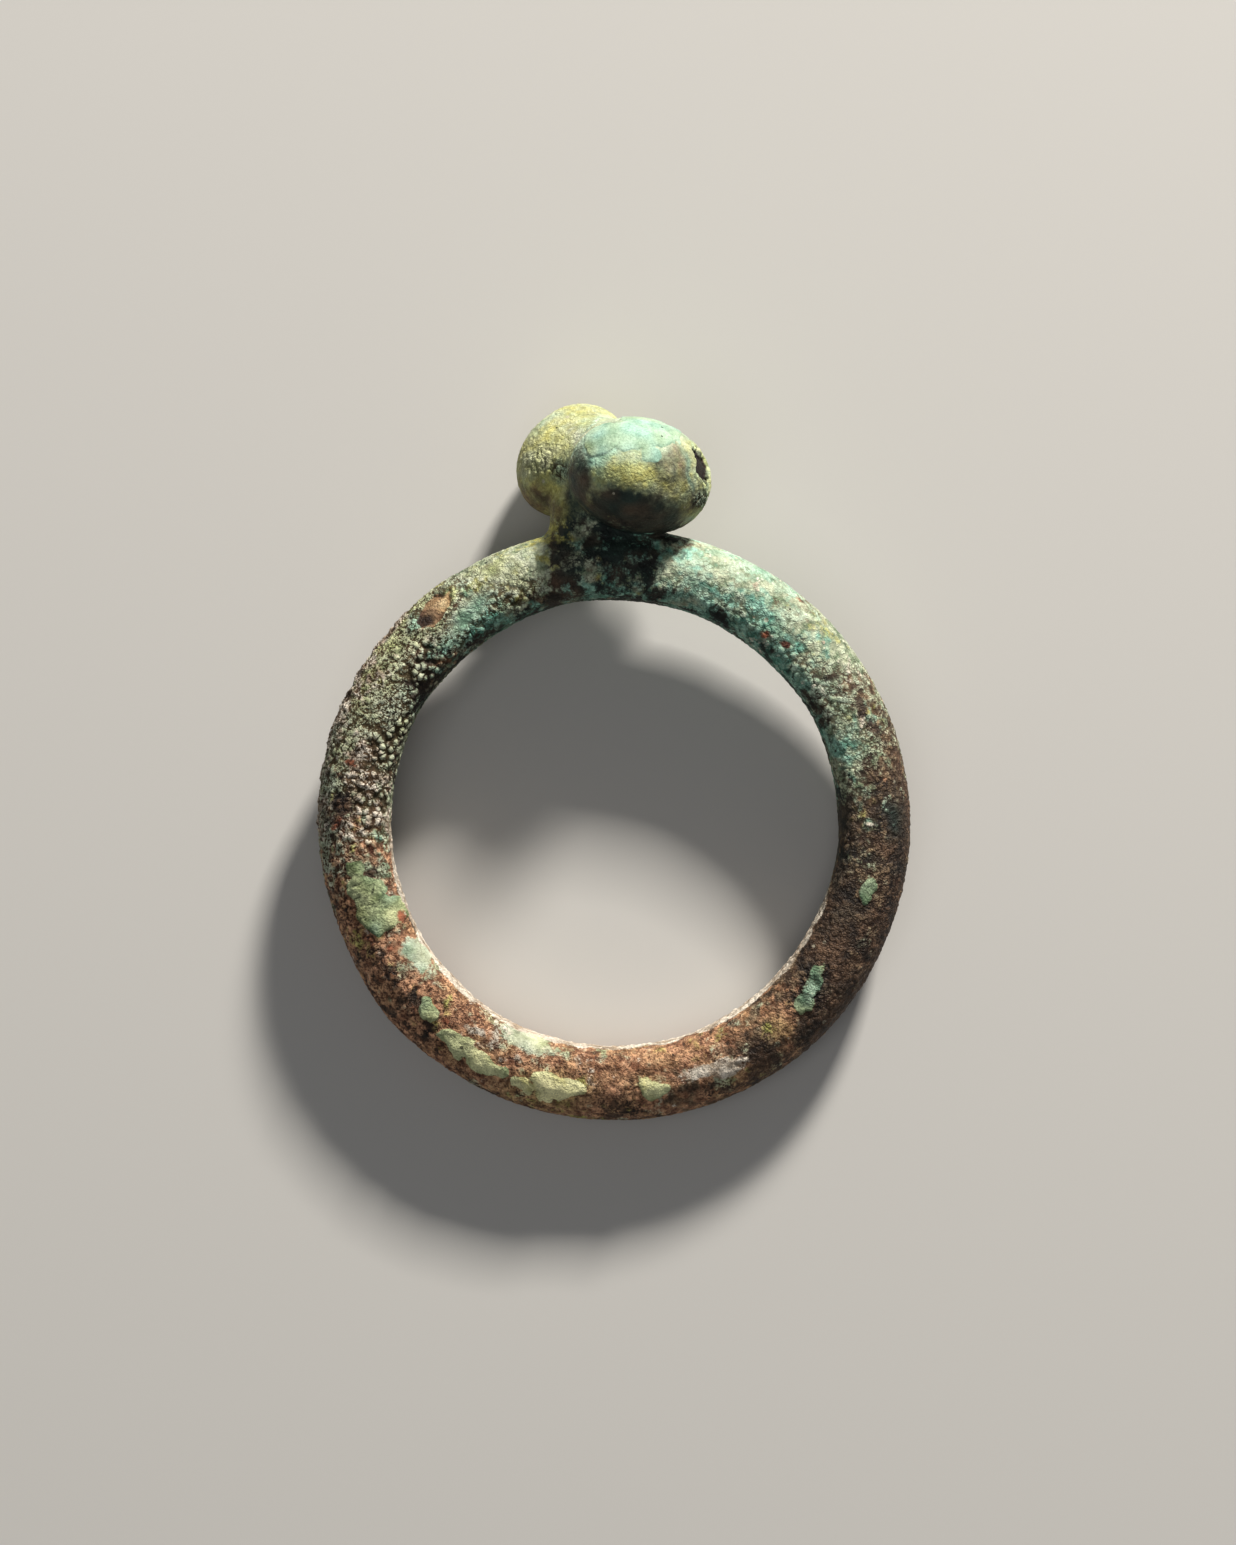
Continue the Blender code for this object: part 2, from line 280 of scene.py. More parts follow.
# %% Wrap the bezel and the neck in one even skin
BEZEL_FACE = 0.06
AVERAGING = 0.5
ALL_OVER_ROUNDS = 4
CORNER_ROUNDS = 70
# Where the inside corners fade in and out: heights over the rim, and distances from the neck's middle.
CORNER_FOOT = (-0.1, 0.3)
CORNER_HEAD = (1.3, 2.3)
CORNER_SIDE = (3.0, 3.8)
CORNER_DEPTH = (1.9, 2.6)


def object_from(name, points, faces):
    """A mesh object from an array of points and a list of faces."""
    mesh = bpy.data.meshes.new(name)
    mesh.from_pydata(np.reshape(points, (-1, 3)).tolist(), [], faces)
    thing = bpy.data.objects.new(name, mesh)
    bpy.context.scene.collection.objects.link(thing)
    return thing


def evaluated(thing):
    """The mesh of an object as its modifiers leave it."""
    return thing.evaluated_get(bpy.context.evaluated_depsgraph_get()).to_mesh()


def numbers(items, field, count, kind=np.float32):
    """One field of all of a mesh's points or corners, as an array."""
    values = np.empty(count, kind)
    items.foreach_get(field, values)
    return values


def closed_shell(grid, first):
    """The points and faces of a grid from pole to pole, with a fan of triangles over each open end."""
    rows, columns = grid.shape[:2]
    points = np.concatenate([grid.reshape(-1, 3), [grid[0].mean(axis=0)], [grid[-1].mean(axis=0)]])
    faces = grid_faces(rows, columns, False, first).tolist()
    column = np.arange(columns)
    beside = (column + 1) % columns
    last, middle = (rows - 1) * columns, rows * columns
    for fan in ((beside, column, middle), (last + column, last + beside, middle + 1)):
        faces += (np.stack(np.broadcast_arrays(*fan), axis=1) + first).tolist()
    return points, faces


def even_skin(grids, face_size):
    """Wraps closed grids in one skin of even four-sided faces, and returns its points and faces."""
    points, faces = [], []
    for grid in grids:
        more, shell = closed_shell(grid, sum(len(part) for part in points))
        points.append(more)
        faces += shell
    wrap = object_from("wrap", np.concatenate(points), faces)
    remesh = wrap.modifiers.new("even faces", "REMESH")
    remesh.mode = "VOXEL"
    remesh.voxel_size = face_size
    even = evaluated(wrap)
    skin = numbers(even.vertices, "co", 3 * len(even.vertices)).reshape(-1, 3).astype(float)
    corners = numbers(even.loops, "vertex_index", len(even.loops), np.int32).reshape(-1, 4)
    bpy.data.meshes.remove(wrap.data)
    return skin, corners


def averaged(points, faces, rounds, weight):
    """Moves each point towards the mean of its neighbours, by its own weight, again and again."""
    start = faces.ravel()
    end = np.roll(faces, -1, axis=1).ravel()
    count = np.bincount(start, minlength=len(points)) + np.bincount(end, minlength=len(points))
    for _ in range(rounds):
        mean = np.stack([
            np.bincount(start, points[end, i], len(points)) + np.bincount(end, points[start, i], len(points))
            for i in range(3)
        ], axis=1) / count[:, None]
        points = points + (mean - points) * weight
    return points


def ramp(values, start, end):
    """0 below the start, 1 above the end, and the soft curve 3t² - 2t³ in between."""
    share = np.clip((values - start) / (end - start), 0, 1)
    return share * share * (3 - 2 * share)


bezel_points, bezel_faces = even_skin([bezel_grid(*BEZEL_GRID), neck_grid(*NECK_GRID)], BEZEL_FACE)
bezel_points = averaged(bezel_points, bezel_faces, ALL_OVER_ROUNDS, AVERAGING)
over_rim = bezel_points[:, 1:2] - RIM_RADIUS
near_corner = ramp(over_rim, *CORNER_FOOT) * (1 - ramp(over_rim, *CORNER_HEAD))
near_corner = near_corner * (1 - ramp(np.abs(bezel_points[:, :1] - NECK_SIDE), *CORNER_SIDE))
near_corner = near_corner * (1 - ramp(np.abs(bezel_points[:, 2:]), *CORNER_DEPTH))
bezel_points = averaged(bezel_points, bezel_faces, CORNER_ROUNDS, AVERAGING * near_corner)
print("bezel:", len(bezel_points), "points")

# %% [markdown]
# ## Noise in three dimensions
#
# Corrosion has no pattern to copy, only a size: grains of a third of a millimetre, blotches of one or two.
# Blender has soft noise of its own, but here the relief and the finish have to follow the very same blotches.
# So the slow noise is worked out once for every point, lifts the skin, and goes on to the finish with it.

# %% Soft noise
SPREAD = (73856093, 19349663, 83492791, 2654435761)
MIXING_ROUNDS = ((13, 1274126177), (15, 2246822519))
WORD = 0xFFFFFFFF
KEPT_BITS = 0xFFFFF


def lattice(cells, seed):
    """A fixed number between 0 and 1 for each cube of space, scrambled from its three whole numbers."""
    x, y, z = cells.astype(np.int64).T
    mixed = (x * SPREAD[0]) ^ (y * SPREAD[1]) ^ (z * SPREAD[2]) ^ (seed * SPREAD[3])
    for shift, factor in MIXING_ROUNDS:
        mixed = ((mixed ^ (mixed >> shift)) * factor) & WORD
    return ((mixed ^ (mixed >> 16)) & KEPT_BITS) / KEPT_BITS


def soft_noise(points, size, seed):
    """Numbers on the corners of cubes of the given size, blended inside each cube with 3t² - 2t³."""
    place = points / size
    cell = np.floor(place)
    part = place - cell
    fade = part * part * (3 - 2 * part)
    total = np.zeros(len(points))
    for corner in itertools.product((0, 1), repeat=3):
        weight = np.prod(np.where(corner, fade, 1 - fade), axis=1)
        total += weight * lattice(cell + corner, seed)
    return total


# %% [markdown]
# ## Round grains
#
# The crust is full of round grains, lying close together with dark gaps between them. They are the cells of
# a Voronoi texture, which Blender has both for finishes and for geometry. So the same nodes serve twice: here
# they are asked for their value at each point, which lifts the point, and the finish asks them again. It
# finds the very same grains, and finer ones than the mesh can follow.

# %% Nodes that make grains, and their values at the points
# Size in millimetres, and how irregularly the grains lie, from 0 to 1.
GRAINS = {"coarse": (0.34, 0.85), "fine": (0.20, 1.0), "grit": (0.12, 1.0)}
STIR = 0.22
STIR_SIZE = 0.3
# A dome's top and foot, and a gap's width, as shares of a grain's size, and what a gap leaves of the dome.
DOME = (0.10, 0.90)
GAP_WIDTH = 0.14
GAP_LEAVES = 0.35


def add(tree, kind, settings=None, inputs=None, output=0):
    """Adds one node, sets its options, fills its inputs with values or other nodes' outputs, and gives back
    one of its outputs."""
    node = tree.nodes.new(kind)
    for name, value in (settings or {}).items():
        setattr(node, name, value)
    for name, value in (inputs or {}).items():
        socket = node.inputs[name]
        if isinstance(value, bpy.types.NodeSocket):
            tree.links.new(value, socket)
        else:
            socket.default_value = value
    return node.outputs[output]


def maths(tree, operation, *values):
    """A Math node on one, two or three values."""
    return add(tree, "ShaderNodeMath", {"operation": operation}, dict(enumerate(values)))


def mapped(tree, value, start, end, low=0.0, high=1.0, way="SMOOTHSTEP"):
    """A Map Range node: low at the start, high at the end, and in between the soft curve 3t² - 2t³ or, with
    the way LINEAR, a straight line."""
    return add(tree, "ShaderNodeMapRange", {"interpolation_type": way}, {
        "Value": value, "From Min": start, "From Max": end, "To Min": low, "To Max": high})


def grain_nodes(tree, place):
    """The height of each size of grain, from 0 in the gaps to 1 on top: the distance to the nearest of many
    scattered spots, turned over and rounded, at places that are first stirred by noise."""
    stir = add(tree, "ShaderNodeTexNoise", {}, {"Vector": place, "Scale": 1 / STIR_SIZE, "Detail": 1.0}, 1)
    bent = add(tree, "ShaderNodeVectorMath", {"operation": "MULTIPLY_ADD"}, {
        0: stir, 1: (STIR,) * 3, 2: place})
    heights = {}
    for name, (size, randomness) in GRAINS.items():
        cells = {"Vector": bent, "Scale": 1 / size, "Randomness": randomness}
        away = add(tree, "ShaderNodeTexVoronoi", {}, cells)
        border = add(tree, "ShaderNodeTexVoronoi", {"feature": "DISTANCE_TO_EDGE"}, cells)
        dome = mapped(tree, away, *DOME, 1.0, 0.0)
        heights[name] = maths(tree, "MULTIPLY", dome, mapped(tree, border, 0.0, GAP_WIDTH, GAP_LEAVES))
    return heights


def grains_at(points):
    """The same heights at each point, read from a mesh of loose points that passes through those nodes."""
    tree = bpy.data.node_groups.new("grains", "GeometryNodeTree")
    for way in ("INPUT", "OUTPUT"):
        tree.interface.new_socket("Geometry", in_out=way, socket_type="NodeSocketGeometry")
    geometry = add(tree, "NodeGroupInput")
    heights = grain_nodes(tree, add(tree, "GeometryNodeInputPosition"))
    for name, height in heights.items():
        geometry = add(tree, "GeometryNodeStoreNamedAttribute", {"data_type": "FLOAT", "domain": "POINT"}, {
            "Geometry": geometry, "Name": name, "Value": height})
    tree.links.new(geometry, tree.nodes.new("NodeGroupOutput").inputs[0])
    cloud = object_from("loose points", points, [])
    cloud.modifiers.new("grains", "NODES").node_group = tree
    passed = evaluated(cloud)
    values = {name: numbers(passed.attributes[name].data, "value", len(points)) for name in heights}
    bpy.data.meshes.remove(cloud.data)
    bpy.data.node_groups.remove(tree)
    return values


# %% [markdown]
# ## The chart of the crust
#
# Which mineral lies where was read off the real ring. The first part of the chart goes round the hoop.
# Three tables, for the half towards the finger hole, for the outer half and for the wall of the hole, give
# the share of each mineral at some angles, in hundredths: 0 for hardly any, 100 for nearly all, and less than
# 0 for not even a speck. Three more columns say how high the grains stand, how many of them are large, and
# how far the tints turn to blue or, below 0, to yellow. The back of the ring carries the same mixture as the
# front, with its own grains.

# %% How much of each mineral there is round the hoop
WHOLE = 100
COLUMNS = ("green", "yellow", "turquoise", "pale", "chalk", "dark", "rust", "relief", "coarse", "cool")
MIXED = COLUMNS[:7]

# The angle in degrees, then the columns in their order. The wall's last number is its reach in hundredths
# of a millimetre.
INNER_HALF = np.array([
    (0, 25, 5, 5, 15, 0, 72, 12, 63, 40, 50),
    (10, 40, 5, 15, 15, 0, 52, 18, 59, 40, 40),
    (20, 85, 0, 40, 28, 0, 10, 8, 59, 50, 50),
    (30, 75, 0, 20, 30, 0, 12, 30, 68, 60, 40),
    (39, 75, 0, 25, 35, 0, 5, 40, 68, 60, 50),
    (50, 85, 0, 60, 57, 0, -15, 25, 68, 60, 80),
    (64, 90, 0, 50, 62, 0, -15, 30, 68, 60, 60),
    (76, 90, 5, 45, 50, 0, -5, 15, 59, 40, 60),
    # Rows 82 and 98 lie in the bezel's shadow: their dark share is partly dark patina and partly painted
    # shadow.
    (82, 70, 10, 45, 5, 0, 32, 15, 55, 50, 80),
    (98, 55, 20, 20, 5, 0, 38, 35, 55, 60, 40),
    (106, 90, 40, 10, 40, 0, 0, 15, 75, 60, 0),
    (116, 90, 40, 20, 50, 0, 0, 20, 90, 80, 10),
    (126, 90, 5, 80, 50, 0, 5, 20, 95, 80, 70),
    (136, 80, 5, 55, 45, 0, 15, 35, 100, 90, 40),
    (146, 85, 15, 10, 99, 42, 0, 30, 100, 100, 0),
    (165, 85, 15, 0, 94, 42, 0, 40, 100, 100, 0),
    (176, 65, 20, 10, 84, 42, 0, 60, 95, 80, 0),
    (188, 25, 15, 0, 40, 10, 10, 95, 72, 60, 20),
    (206, 5, 8, -10, 12, 12, 2, 100, 72, 40, 0),
    (225, 5, 8, -20, 12, 12, 0, 100, 72, 30, 0),
    (245, 5, 8, -20, 12, 15, 0, 100, 72, 30, -8),
    (265, 0, 5, -20, 20, 8, 0, 100, 64, 20, -12),
    (284, 0, 0, -20, 15, 5, 5, 100, 60, 20, -16),
    (300, 0, 5, -20, 12, 0, 22, 90, 56, 20, -12),
    (314, 0, 8, -20, 12, 0, 70, 40, 64, 30, 0),
    (330, 0, 8, -20, 12, 0, 85, 30, 64, 30, 0),
    (346, 15, 5, -10, 18, 0, 78, 20, 75, 30, 30),
])
OUTER_HALF = np.array([
    (0, 10, 5, -10, 15, 5, 78, 15, 68, 40, 20),
    (12, 20, 0, -10, 20, 5, 68, 12, 68, 40, 20),
    (22, 50, 0, 0, 40, 10, 38, 15, 68, 40, 40),
    (32, 80, 0, 5, 33, 0, 8, 20, 54, 40, 30),
    (42, 80, 0, 15, 38, 5, 0, 25, 45, 40, 40),
    (55, 85, 0, 40, 57, 5, -10, 25, 41, 40, 60),
    (68, 90, 0, 35, 57, 0, -10, 15, 27, 40, 70),
    (77, 90, 5, 20, 47, 0, -10, 10, 23, 40, 80),
    # Rows 83 and 98 lie in the bezel's shadow: their dark share is partly dark patina and partly painted
    # shadow.
    (83, 80, 10, 50, 5, 0, 32, 5, 40, 40, 80),
    (98, 60, 25, 15, 5, 0, 32, 5, 40, 50, 20),
    (104, 90, 50, 0, 30, 0, -5, 10, 40, 40, -30),
    (114, 90, 40, 0, 50, 0, -10, 10, 50, 40, -30),
    (122, 90, 35, 20, 50, 5, -10, 20, 70, 40, 0),
    (136, 45, 30, -10, 76, 36, 0, 65, 95, 30, -50),
    (150, 50, 25, -10, 76, 36, 0, 65, 95, 30, -40),
    (160, 75, 10, 20, 76, 36, 0, 50, 95, 35, -10),
    (170, 55, 15, 0, 66, 36, 15, 60, 95, 35, -10),
    (178, 40, 25, 0, 50, 36, 20, 75, 95, 30, 0),
    (187, 35, 13, -10, 55, 0, 8, 85, 95, 40, 0),
    (196, 15, 9, -20, 25, 0, 12, 95, 95, 40, 0),
    (208, 5, 5, -20, 8, 5, 38, 95, 72, 40, 0),
    (224, 5, 5, -20, 8, 5, 35, 95, 72, 40, 0),
    (236, 5, 12, -20, 8, 5, 18, 90, 68, 40, -20),
    (252, 20, 18, -20, 15, 0, 20, 90, 64, 30, -16),
    (270, 5, 9, -20, 10, 0, 25, 90, 60, 30, -16),
    (290, 0, 6, -20, 10, 0, 38, 75, 60, 30, -16),
    (302, 0, 12, -20, 10, 0, 50, 65, 60, 30, -24),
    (316, 0, 8, -20, 12, 0, 82, 30, 64, 30, 0),
    (332, 0, 8, -20, 18, 0, 85, 30, 64, 30, 0),
    (346, 5, 8, -20, 12, 0, 80, 25, 80, 30, 10),
])
# Round the top, from 20 to 145 degrees, the dark share and the long reach onto the face are partly dark teal
# crust and partly painted shade, as that wall faces away from the light. Round the bottom the chalk is partly
# lime and partly a painted highlight, as that wall faces the light.
BORE_WALL = np.array([
    (0, 40, 0, 20, 20, 0, 65, 10, 50, 40, 90, 50),
    (20, 60, 0, 55, 10, 0, 48, 5, 50, 40, 100, 80),
    (60, 70, 0, 90, 5, 0, 48, 2, 50, 40, 100, 130),
    (90, 60, 0, 75, 5, 0, 48, 5, 50, 40, 100, 120),
    (125, 60, 0, 65, 5, 0, 48, 10, 60, 60, 100, 130),
    (145, 60, 5, 20, 25, 0, 55, 20, 70, 70, 80, 75),
    (172, 60, 10, 0, 50, 30, 20, 30, 70, 60, 30, 30),
    (188, 30, 5, 0, 25, 90, 5, 20, 45, 40, 10, 10),
    (270, 30, 10, 0, 25, 100, 0, 10, 45, 50, 0, 10),
    (335, 20, 5, 0, 25, 95, 5, 10, 40, 40, 0, 9),
    (348, 30, 5, 10, 25, 40, 40, 15, 45, 40, 40, 25),
])
BEZEL_MIX = dict(zip(COLUMNS, (120, 45, 15, 20, 0, 10, 0, 22, 40, 60)))

# %% [markdown]
# ## Single patches
#
# Smooth mint patches, chalky streaks, scars and cracks lie where chance put them, so each has a row of its
# own: an ellipse as the camera sees it. Its middle is given in pixels from the picture's left and top edges,
# then come half its length and half its width in pixels, and its turn in degrees counter-clockwise. It covers
# the front of the ring, down to the height in millimetres that a sixth number gives, or to 0 without one. The
# camera looks along the hoop's axis, so the line of sight through a pixel gives x and y once it is known how
# high the skin is there.

# %% The camera's view of the ring, and the patches
PICTURE = (1236, 1545)
PIXEL = 0.0472
CAMERA_DISTANCE = 300.0
AIM = (0.19, 2.45)
# The row of pixels below which the hoop is seen, the column where one globe hides the other, and the heights
# of the skin in millimetres.
BEZEL_ENDS = 530
GLOBES_MEET = 583
REAR_GLOBE_SKIN = 0.5
FRONT_GLOBE_SKIN = 3.5
HOOP_SKIN = 1.8
BOTH_SIDES = -9


def on_ring(right, down, length, width, turn, lowest=0):
    """A row of the chart in millimetres, to the nearest hundredth. A pixel is as many times smaller on the
    skin as the skin is nearer to the camera than the hoop's middle is."""
    globe_skin = FRONT_GLOBE_SKIN if right > GLOBES_MEET else REAR_GLOBE_SKIN
    skin = globe_skin if down < BEZEL_ENDS else HOOP_SKIN
    pixel = PIXEL * (CAMERA_DISTANCE - skin) / CAMERA_DISTANCE
    x = AIM[0] + (right - PICTURE[0] / 2) * pixel
    y = AIM[1] + (PICTURE[1] / 2 - down) * pixel
    return round(x, 2), round(y, 2), round(length * pixel, 2), round(width * pixel, 2), turn, lowest


PATCHES = {
    "mint": [
        (366, 890, 20, 17, 0),
        (378, 915, 20, 20, 0),
        (357, 868, 10, 9, 80),
        (396, 908, 10, 12, 0),
        (427, 1012, 12, 8, 100),
        (452, 1040, 15, 9, -38),
        (462, 1050, 18, 11, -32),
        (476, 1059, 20, 10, -30),
        (497, 1070, 17, 6, -24),
        (524, 1087, 14, 7, -20),
        (546, 1084, 14, 8, -16),
        (563, 1092, 22, 10, 14),
        (655, 1089, 15, 10, -6),
        (814, 981, 18, 11, 70),
        (807, 1003, 14, 10, 80),
        (867, 886, 14, 9, 82),
        (656, 431, 27, 13, -18),
        (636, 434, 26, 20, 0),
        (603, 440, 20, 15, 35),
        (652, 456, 10, 9, 0),
    ],
    "pale": [
        (528, 1040, 36, 10, -27),
        (583, 440, 3, 26, -28),
        (893, 824, 22, 6, 95),
        (418, 953, 17, 13, -35),
    ],
    "chalk": [
        (712, 1071, 34, 8, 14),
        (472, 1030, 9, 4, -40),
    ],
    "dark": [
        (340, 801, 14, 11, 70),
        (864, 709, 12, 6, 112),
        (874, 727, 9, 5, 105),
        (371, 872, 9, 7, 90),
    ],
    "scar": [
        (434, 609, 25, 11.5, 52),
        (702, 466, 20, 5.8, -73, 2),
    ],
    "ochre": [
        (401, 915, 4, 3, 110),
        (787, 644, 6, 4, -20),
        (766, 632, 4, 3, 0),
        (337, 822, 7, 5, 60),
        (349, 762, 6, 4, 0),
        (392, 948, 4, 3, 60),
        (444, 1020, 6, 3, -40),
        (371, 850, 5, 4, 90),
    ],
    "crack": [
        (362, 899, 12, 0.9, 5),
        (369, 907, 16, 0.9, -9),
        # Painted shadow: the front globe's flake crescent, a hollow behind a raised lip, darkened as one wide
        # crack.
        (702.5, 466, 19, 5.4, -73, 2),
        (379, 901, 9, 0.8, -42),
        (374, 890, 7, 0.8, 80),
        (366, 919, 12, 0.7, -12),
        (357, 885, 8, 0.7, 10),
    ],
}
print(sum(len(rows) for rows in PATCHES.values()), "single patches")

# %% [markdown]
# ## Wider areas
#
# The mixture round the hoop says nothing about the bezel, which has its own colours on each globe and round
# each scar, and painted shade in each of its shadows. In an area one column of the mixture changes to another
# value.
# Its row gives the column and the value, then an ellipse as above. Later rows lie over earlier ones.

# %% Areas where one column of the mixture changes
AREAS = [
    # The front globe.
    ("cool", 90, 650, 470, 78, 72, 0),
    ("cool", -45, 548, 455, 52, 62, 20, BOTH_SIDES),
    ("turquoise", 65, 600, 448, 40, 34, 0),
    ("pale", 55, 612, 440, 40, 26, -10),
    ("relief", 12, 640, 440, 70, 36, -10),
    ("yellow", 10, 640, 432, 60, 24, -10),
    ("yellow", 100, 630, 478, 62, 15, -3),
    ("dark", 10, 622, 479, 40, 10, -3),
    ("rust", 85, 672, 464, 24, 22, 0),
    ("green", 60, 672, 464, 26, 24, 0),
    ("dark", 58, 670, 470, 30, 26, 0),
    ("turquoise", 70, 689, 470, 32, 5, 104),
    ("dark", 38, 689, 468, 34, 6, 104),
    # Painted shadow in the front globe's flake crescent, which takes the scar's nearly black cool tints.
    ("cool", 160, 702, 466, 24, 9, -73, BOTH_SIDES),
    # Partly dark purple-black patina and partly painted shade: the front globe's underside, turned from the
    # light.
    ("dark", 88, 628, 520, 86, 40, -3),
    ("dark", 115, 628, 513, 50, 20, -3),
    ("relief", 15, 628, 504, 60, 24, -3),
    ("yellow", 80, 690, 500, 22, 18, 40),
    ("dark", 60, 690, 500, 24, 20, 40),
    ("pale", 75, 703, 496, 12, 8, 70),
    ("relief", 100, 703, 498, 13, 10, 70),
    # The rear globe, and the bridge between the globes.
    ("pale", 30, 572, 420, 60, 26, 15, BOTH_SIDES),
    ("relief", 30, 575, 425, 50, 26, 15, BOTH_SIDES),
    ("yellow", 100, 556, 440, 50, 26, 30, BOTH_SIDES),
    ("pale", 60, 562, 443, 34, 18, 35, BOTH_SIDES),
    ("net", 70, 538, 460, 26, 22, 65, BOTH_SIDES),
    ("yellow", 110, 536, 460, 28, 22, 65, BOTH_SIDES),
    ("pale", 95, 536, 460, 26, 20, 65, BOTH_SIDES),
    ("relief", 50, 536, 460, 28, 22, 65, BOTH_SIDES),
    ("turquoise", 45, 560, 474, 18, 16, 75, BOTH_SIDES),
    ("relief", 80, 560, 472, 16, 16, 75, BOTH_SIDES),
    # Partly dark olive patina and partly painted shade: the lower sides of the rear globe and the bridge,
    # turned from the light.
    ("dark", 76, 532, 500, 30, 20, -30, BOTH_SIDES),
    ("yellow", 120, 532, 498, 30, 18, -30, BOTH_SIDES),
    ("yellow", 110, 558, 518, 46, 16, 100, BOTH_SIDES),
    ("dark", 62, 556, 528, 40, 16, 100, BOTH_SIDES),
    # Painted shadow: the hollow between the globes, which the front globe shades, darker and bluer.
    ("dark", 95, 577, 488, 46, 15, 82, BOTH_SIDES),
    ("cool", 75, 577, 488, 50, 18, 82, BOTH_SIDES),
    ("cool", 100, 592, 530, 46, 30, 0, BOTH_SIDES),
    ("green", 130, 592, 533, 50, 28, 0),
    ("relief", 25, 556, 515, 40, 16, 100, BOTH_SIDES),
    # The neck, and the hoop under the bezel. Both lie in the bezel's shadow: their dark rows are partly dark
    # teal patina and partly painted shadow.
    ("pale", -30, 582, 546, 54, 26, 0),
    ("rust", -20, 592, 545, 54, 24, 0),
    ("dark", 62, 610, 542, 62, 20, 0),
    ("turquoise", 80, 622, 540, 60, 16, 0),
    ("relief", 25, 618, 540, 62, 20, 0),
    ("cool", 95, 612, 560, 90, 46, 0),
    ("rust", 25, 600, 592, 24, 14, 0),
    # Painted shadow: the bezel's shadow on the hoop left of the neck, as a darker, less pale and bluer
    # colour.
    ("dark", 70, 566, 568, 26, 46, 0),
    ("pale", -10, 570, 580, 26, 42, 0),
    ("relief", 45, 575, 570, 36, 44, 0),
    ("cool", 70, 570, 592, 22, 36, 0),
    ("turquoise", 40, 566, 592, 22, 34, 8),
    # The hoop.
    # The hoop's scar: its left part takes the scar's nearly black cool tints, partly dark cuprite and partly
    # painted shadow of its rim. Its right part takes the warm ones.
    ("cool", 130, 423, 620, 20, 13, 53),
    ("cool", -160, 448, 596, 14, 8, 45),
    ("turquoise", 130, 461, 624, 38, 12, 40),
    ("pale", 140, 467, 613, 34, 12, 40),
    ("relief", 45, 467, 613, 34, 14, 40),
    ("cool", 80, 466, 620, 40, 18, 40),
    ("turquoise", 90, 443, 636, 14, 10, 30),
    # Partly dark crust and partly painted shade: the hoop's bore side here, turned from the light.
    ("dark", 55, 440, 655, 16, 9, 45),
    ("turquoise", 90, 768, 626, 46, 16, -42),
    ("turquoise", 75, 710, 592, 30, 8, -25),
    ("chalk", 45, 812, 630, 34, 9, -45),
    ("green", 100, 851, 741, 34, 14, 104),
    ("dark", -20, 851, 741, 34, 14, 104),
    ("turquoise", 25, 851, 741, 30, 12, 104),
    ("relief", 25, 698, 562, 26, 18, -20),
    ("green", 35, 385, 895, 30, 40, 0),
    ("cool", -25, 361, 893, 14, 28, 12),
    ("cool", -30, 398, 912, 14, 16, 0),
    ("cool", 55, 812, 985, 30, 24, 70),
    ("relief", 120, 812, 985, 30, 20, 70),
    ("cool", 35, 866, 889, 20, 16, 82),
    ("cool", 90, 893, 824, 26, 12, 95),
    ("cool", -45, 470, 1052, 44, 22, -33),
    ("cool", -110, 548, 1092, 60, 22, 0),
    ("cool", -90, 655, 1087, 24, 14, 0),
    ("yellow", 50, 773, 1035, 24, 14, 40),
    ("cool", -100, 770, 1036, 36, 18, 40),
    ("dark", 10, 773, 1035, 26, 16, 40),
    ("dark", 0, 717, 1073, 44, 18, 14),
    ("relief", 30, 712, 1071, 36, 12, 14),
    ("pale", 40, 890, 860, 30, 8, 96),
    ("relief", 20, 528, 1040, 38, 11, -27),
    ("cool", -20, 528, 1040, 38, 11, -27),
    ("relief", 18, 418, 953, 30, 24, -35),
    ("cool", 25, 418, 953, 22, 18, -35),
    ("yellow", 30, 655, 1089, 16, 10, -6),
]
print(len(AREAS), "wider areas")

# %% [markdown]
# ## From the chart to the points
#
# Every point of the skin asks the chart three things: how much of each mineral is due here, which patch it
# lies in, and how high its grain stands. A patch's outline would be a neat ellipse, so the points are first
# pushed about by soft noise: the same trick that turns a circle into a coastline.

# %% Read the chart
# In millimetres: how far out from the finger hole the inner half gives way to the outer one, how far past the
# rim the hoop gives way to the bezel, how softly an ellipse ends below its lowest height, and a patch's edge.
HALVES_MEET = (0.9, 2.3)
BEZEL_BEGINS = (0.1, 1.0)
SIDE_FADE = 1.0
PATCH_EDGE = 0.25
# As shares of the wall's reach, of the push, and of an ellipse's size.
WALL_ENDS = (0.1, 1.0)
WALL_PUSH = 0.4
AREA_EDGE = (-0.15, 0.75)


def inside(points, ellipse):
    """1 in the middle of an ellipse, 0 on its edge and below 0 outside: 1 minus the distance from the middle
    in half lengths and half widths. Points below the ellipse's lowest height count as further away."""
    x, y, length, width, turn, lowest = ellipse
    east, north = points[:, 0] - x, points[:, 1] - y
    turn = math.radians(turn)
    along = (east * math.cos(turn) + north * math.sin(turn)) / length
    across = (north * math.cos(turn) - east * math.sin(turn)) / width
    below = np.clip(lowest - points[:, 2], 0, None) / SIDE_FADE
    return 1 - np.sqrt(along**2 + across**2 + below**2)


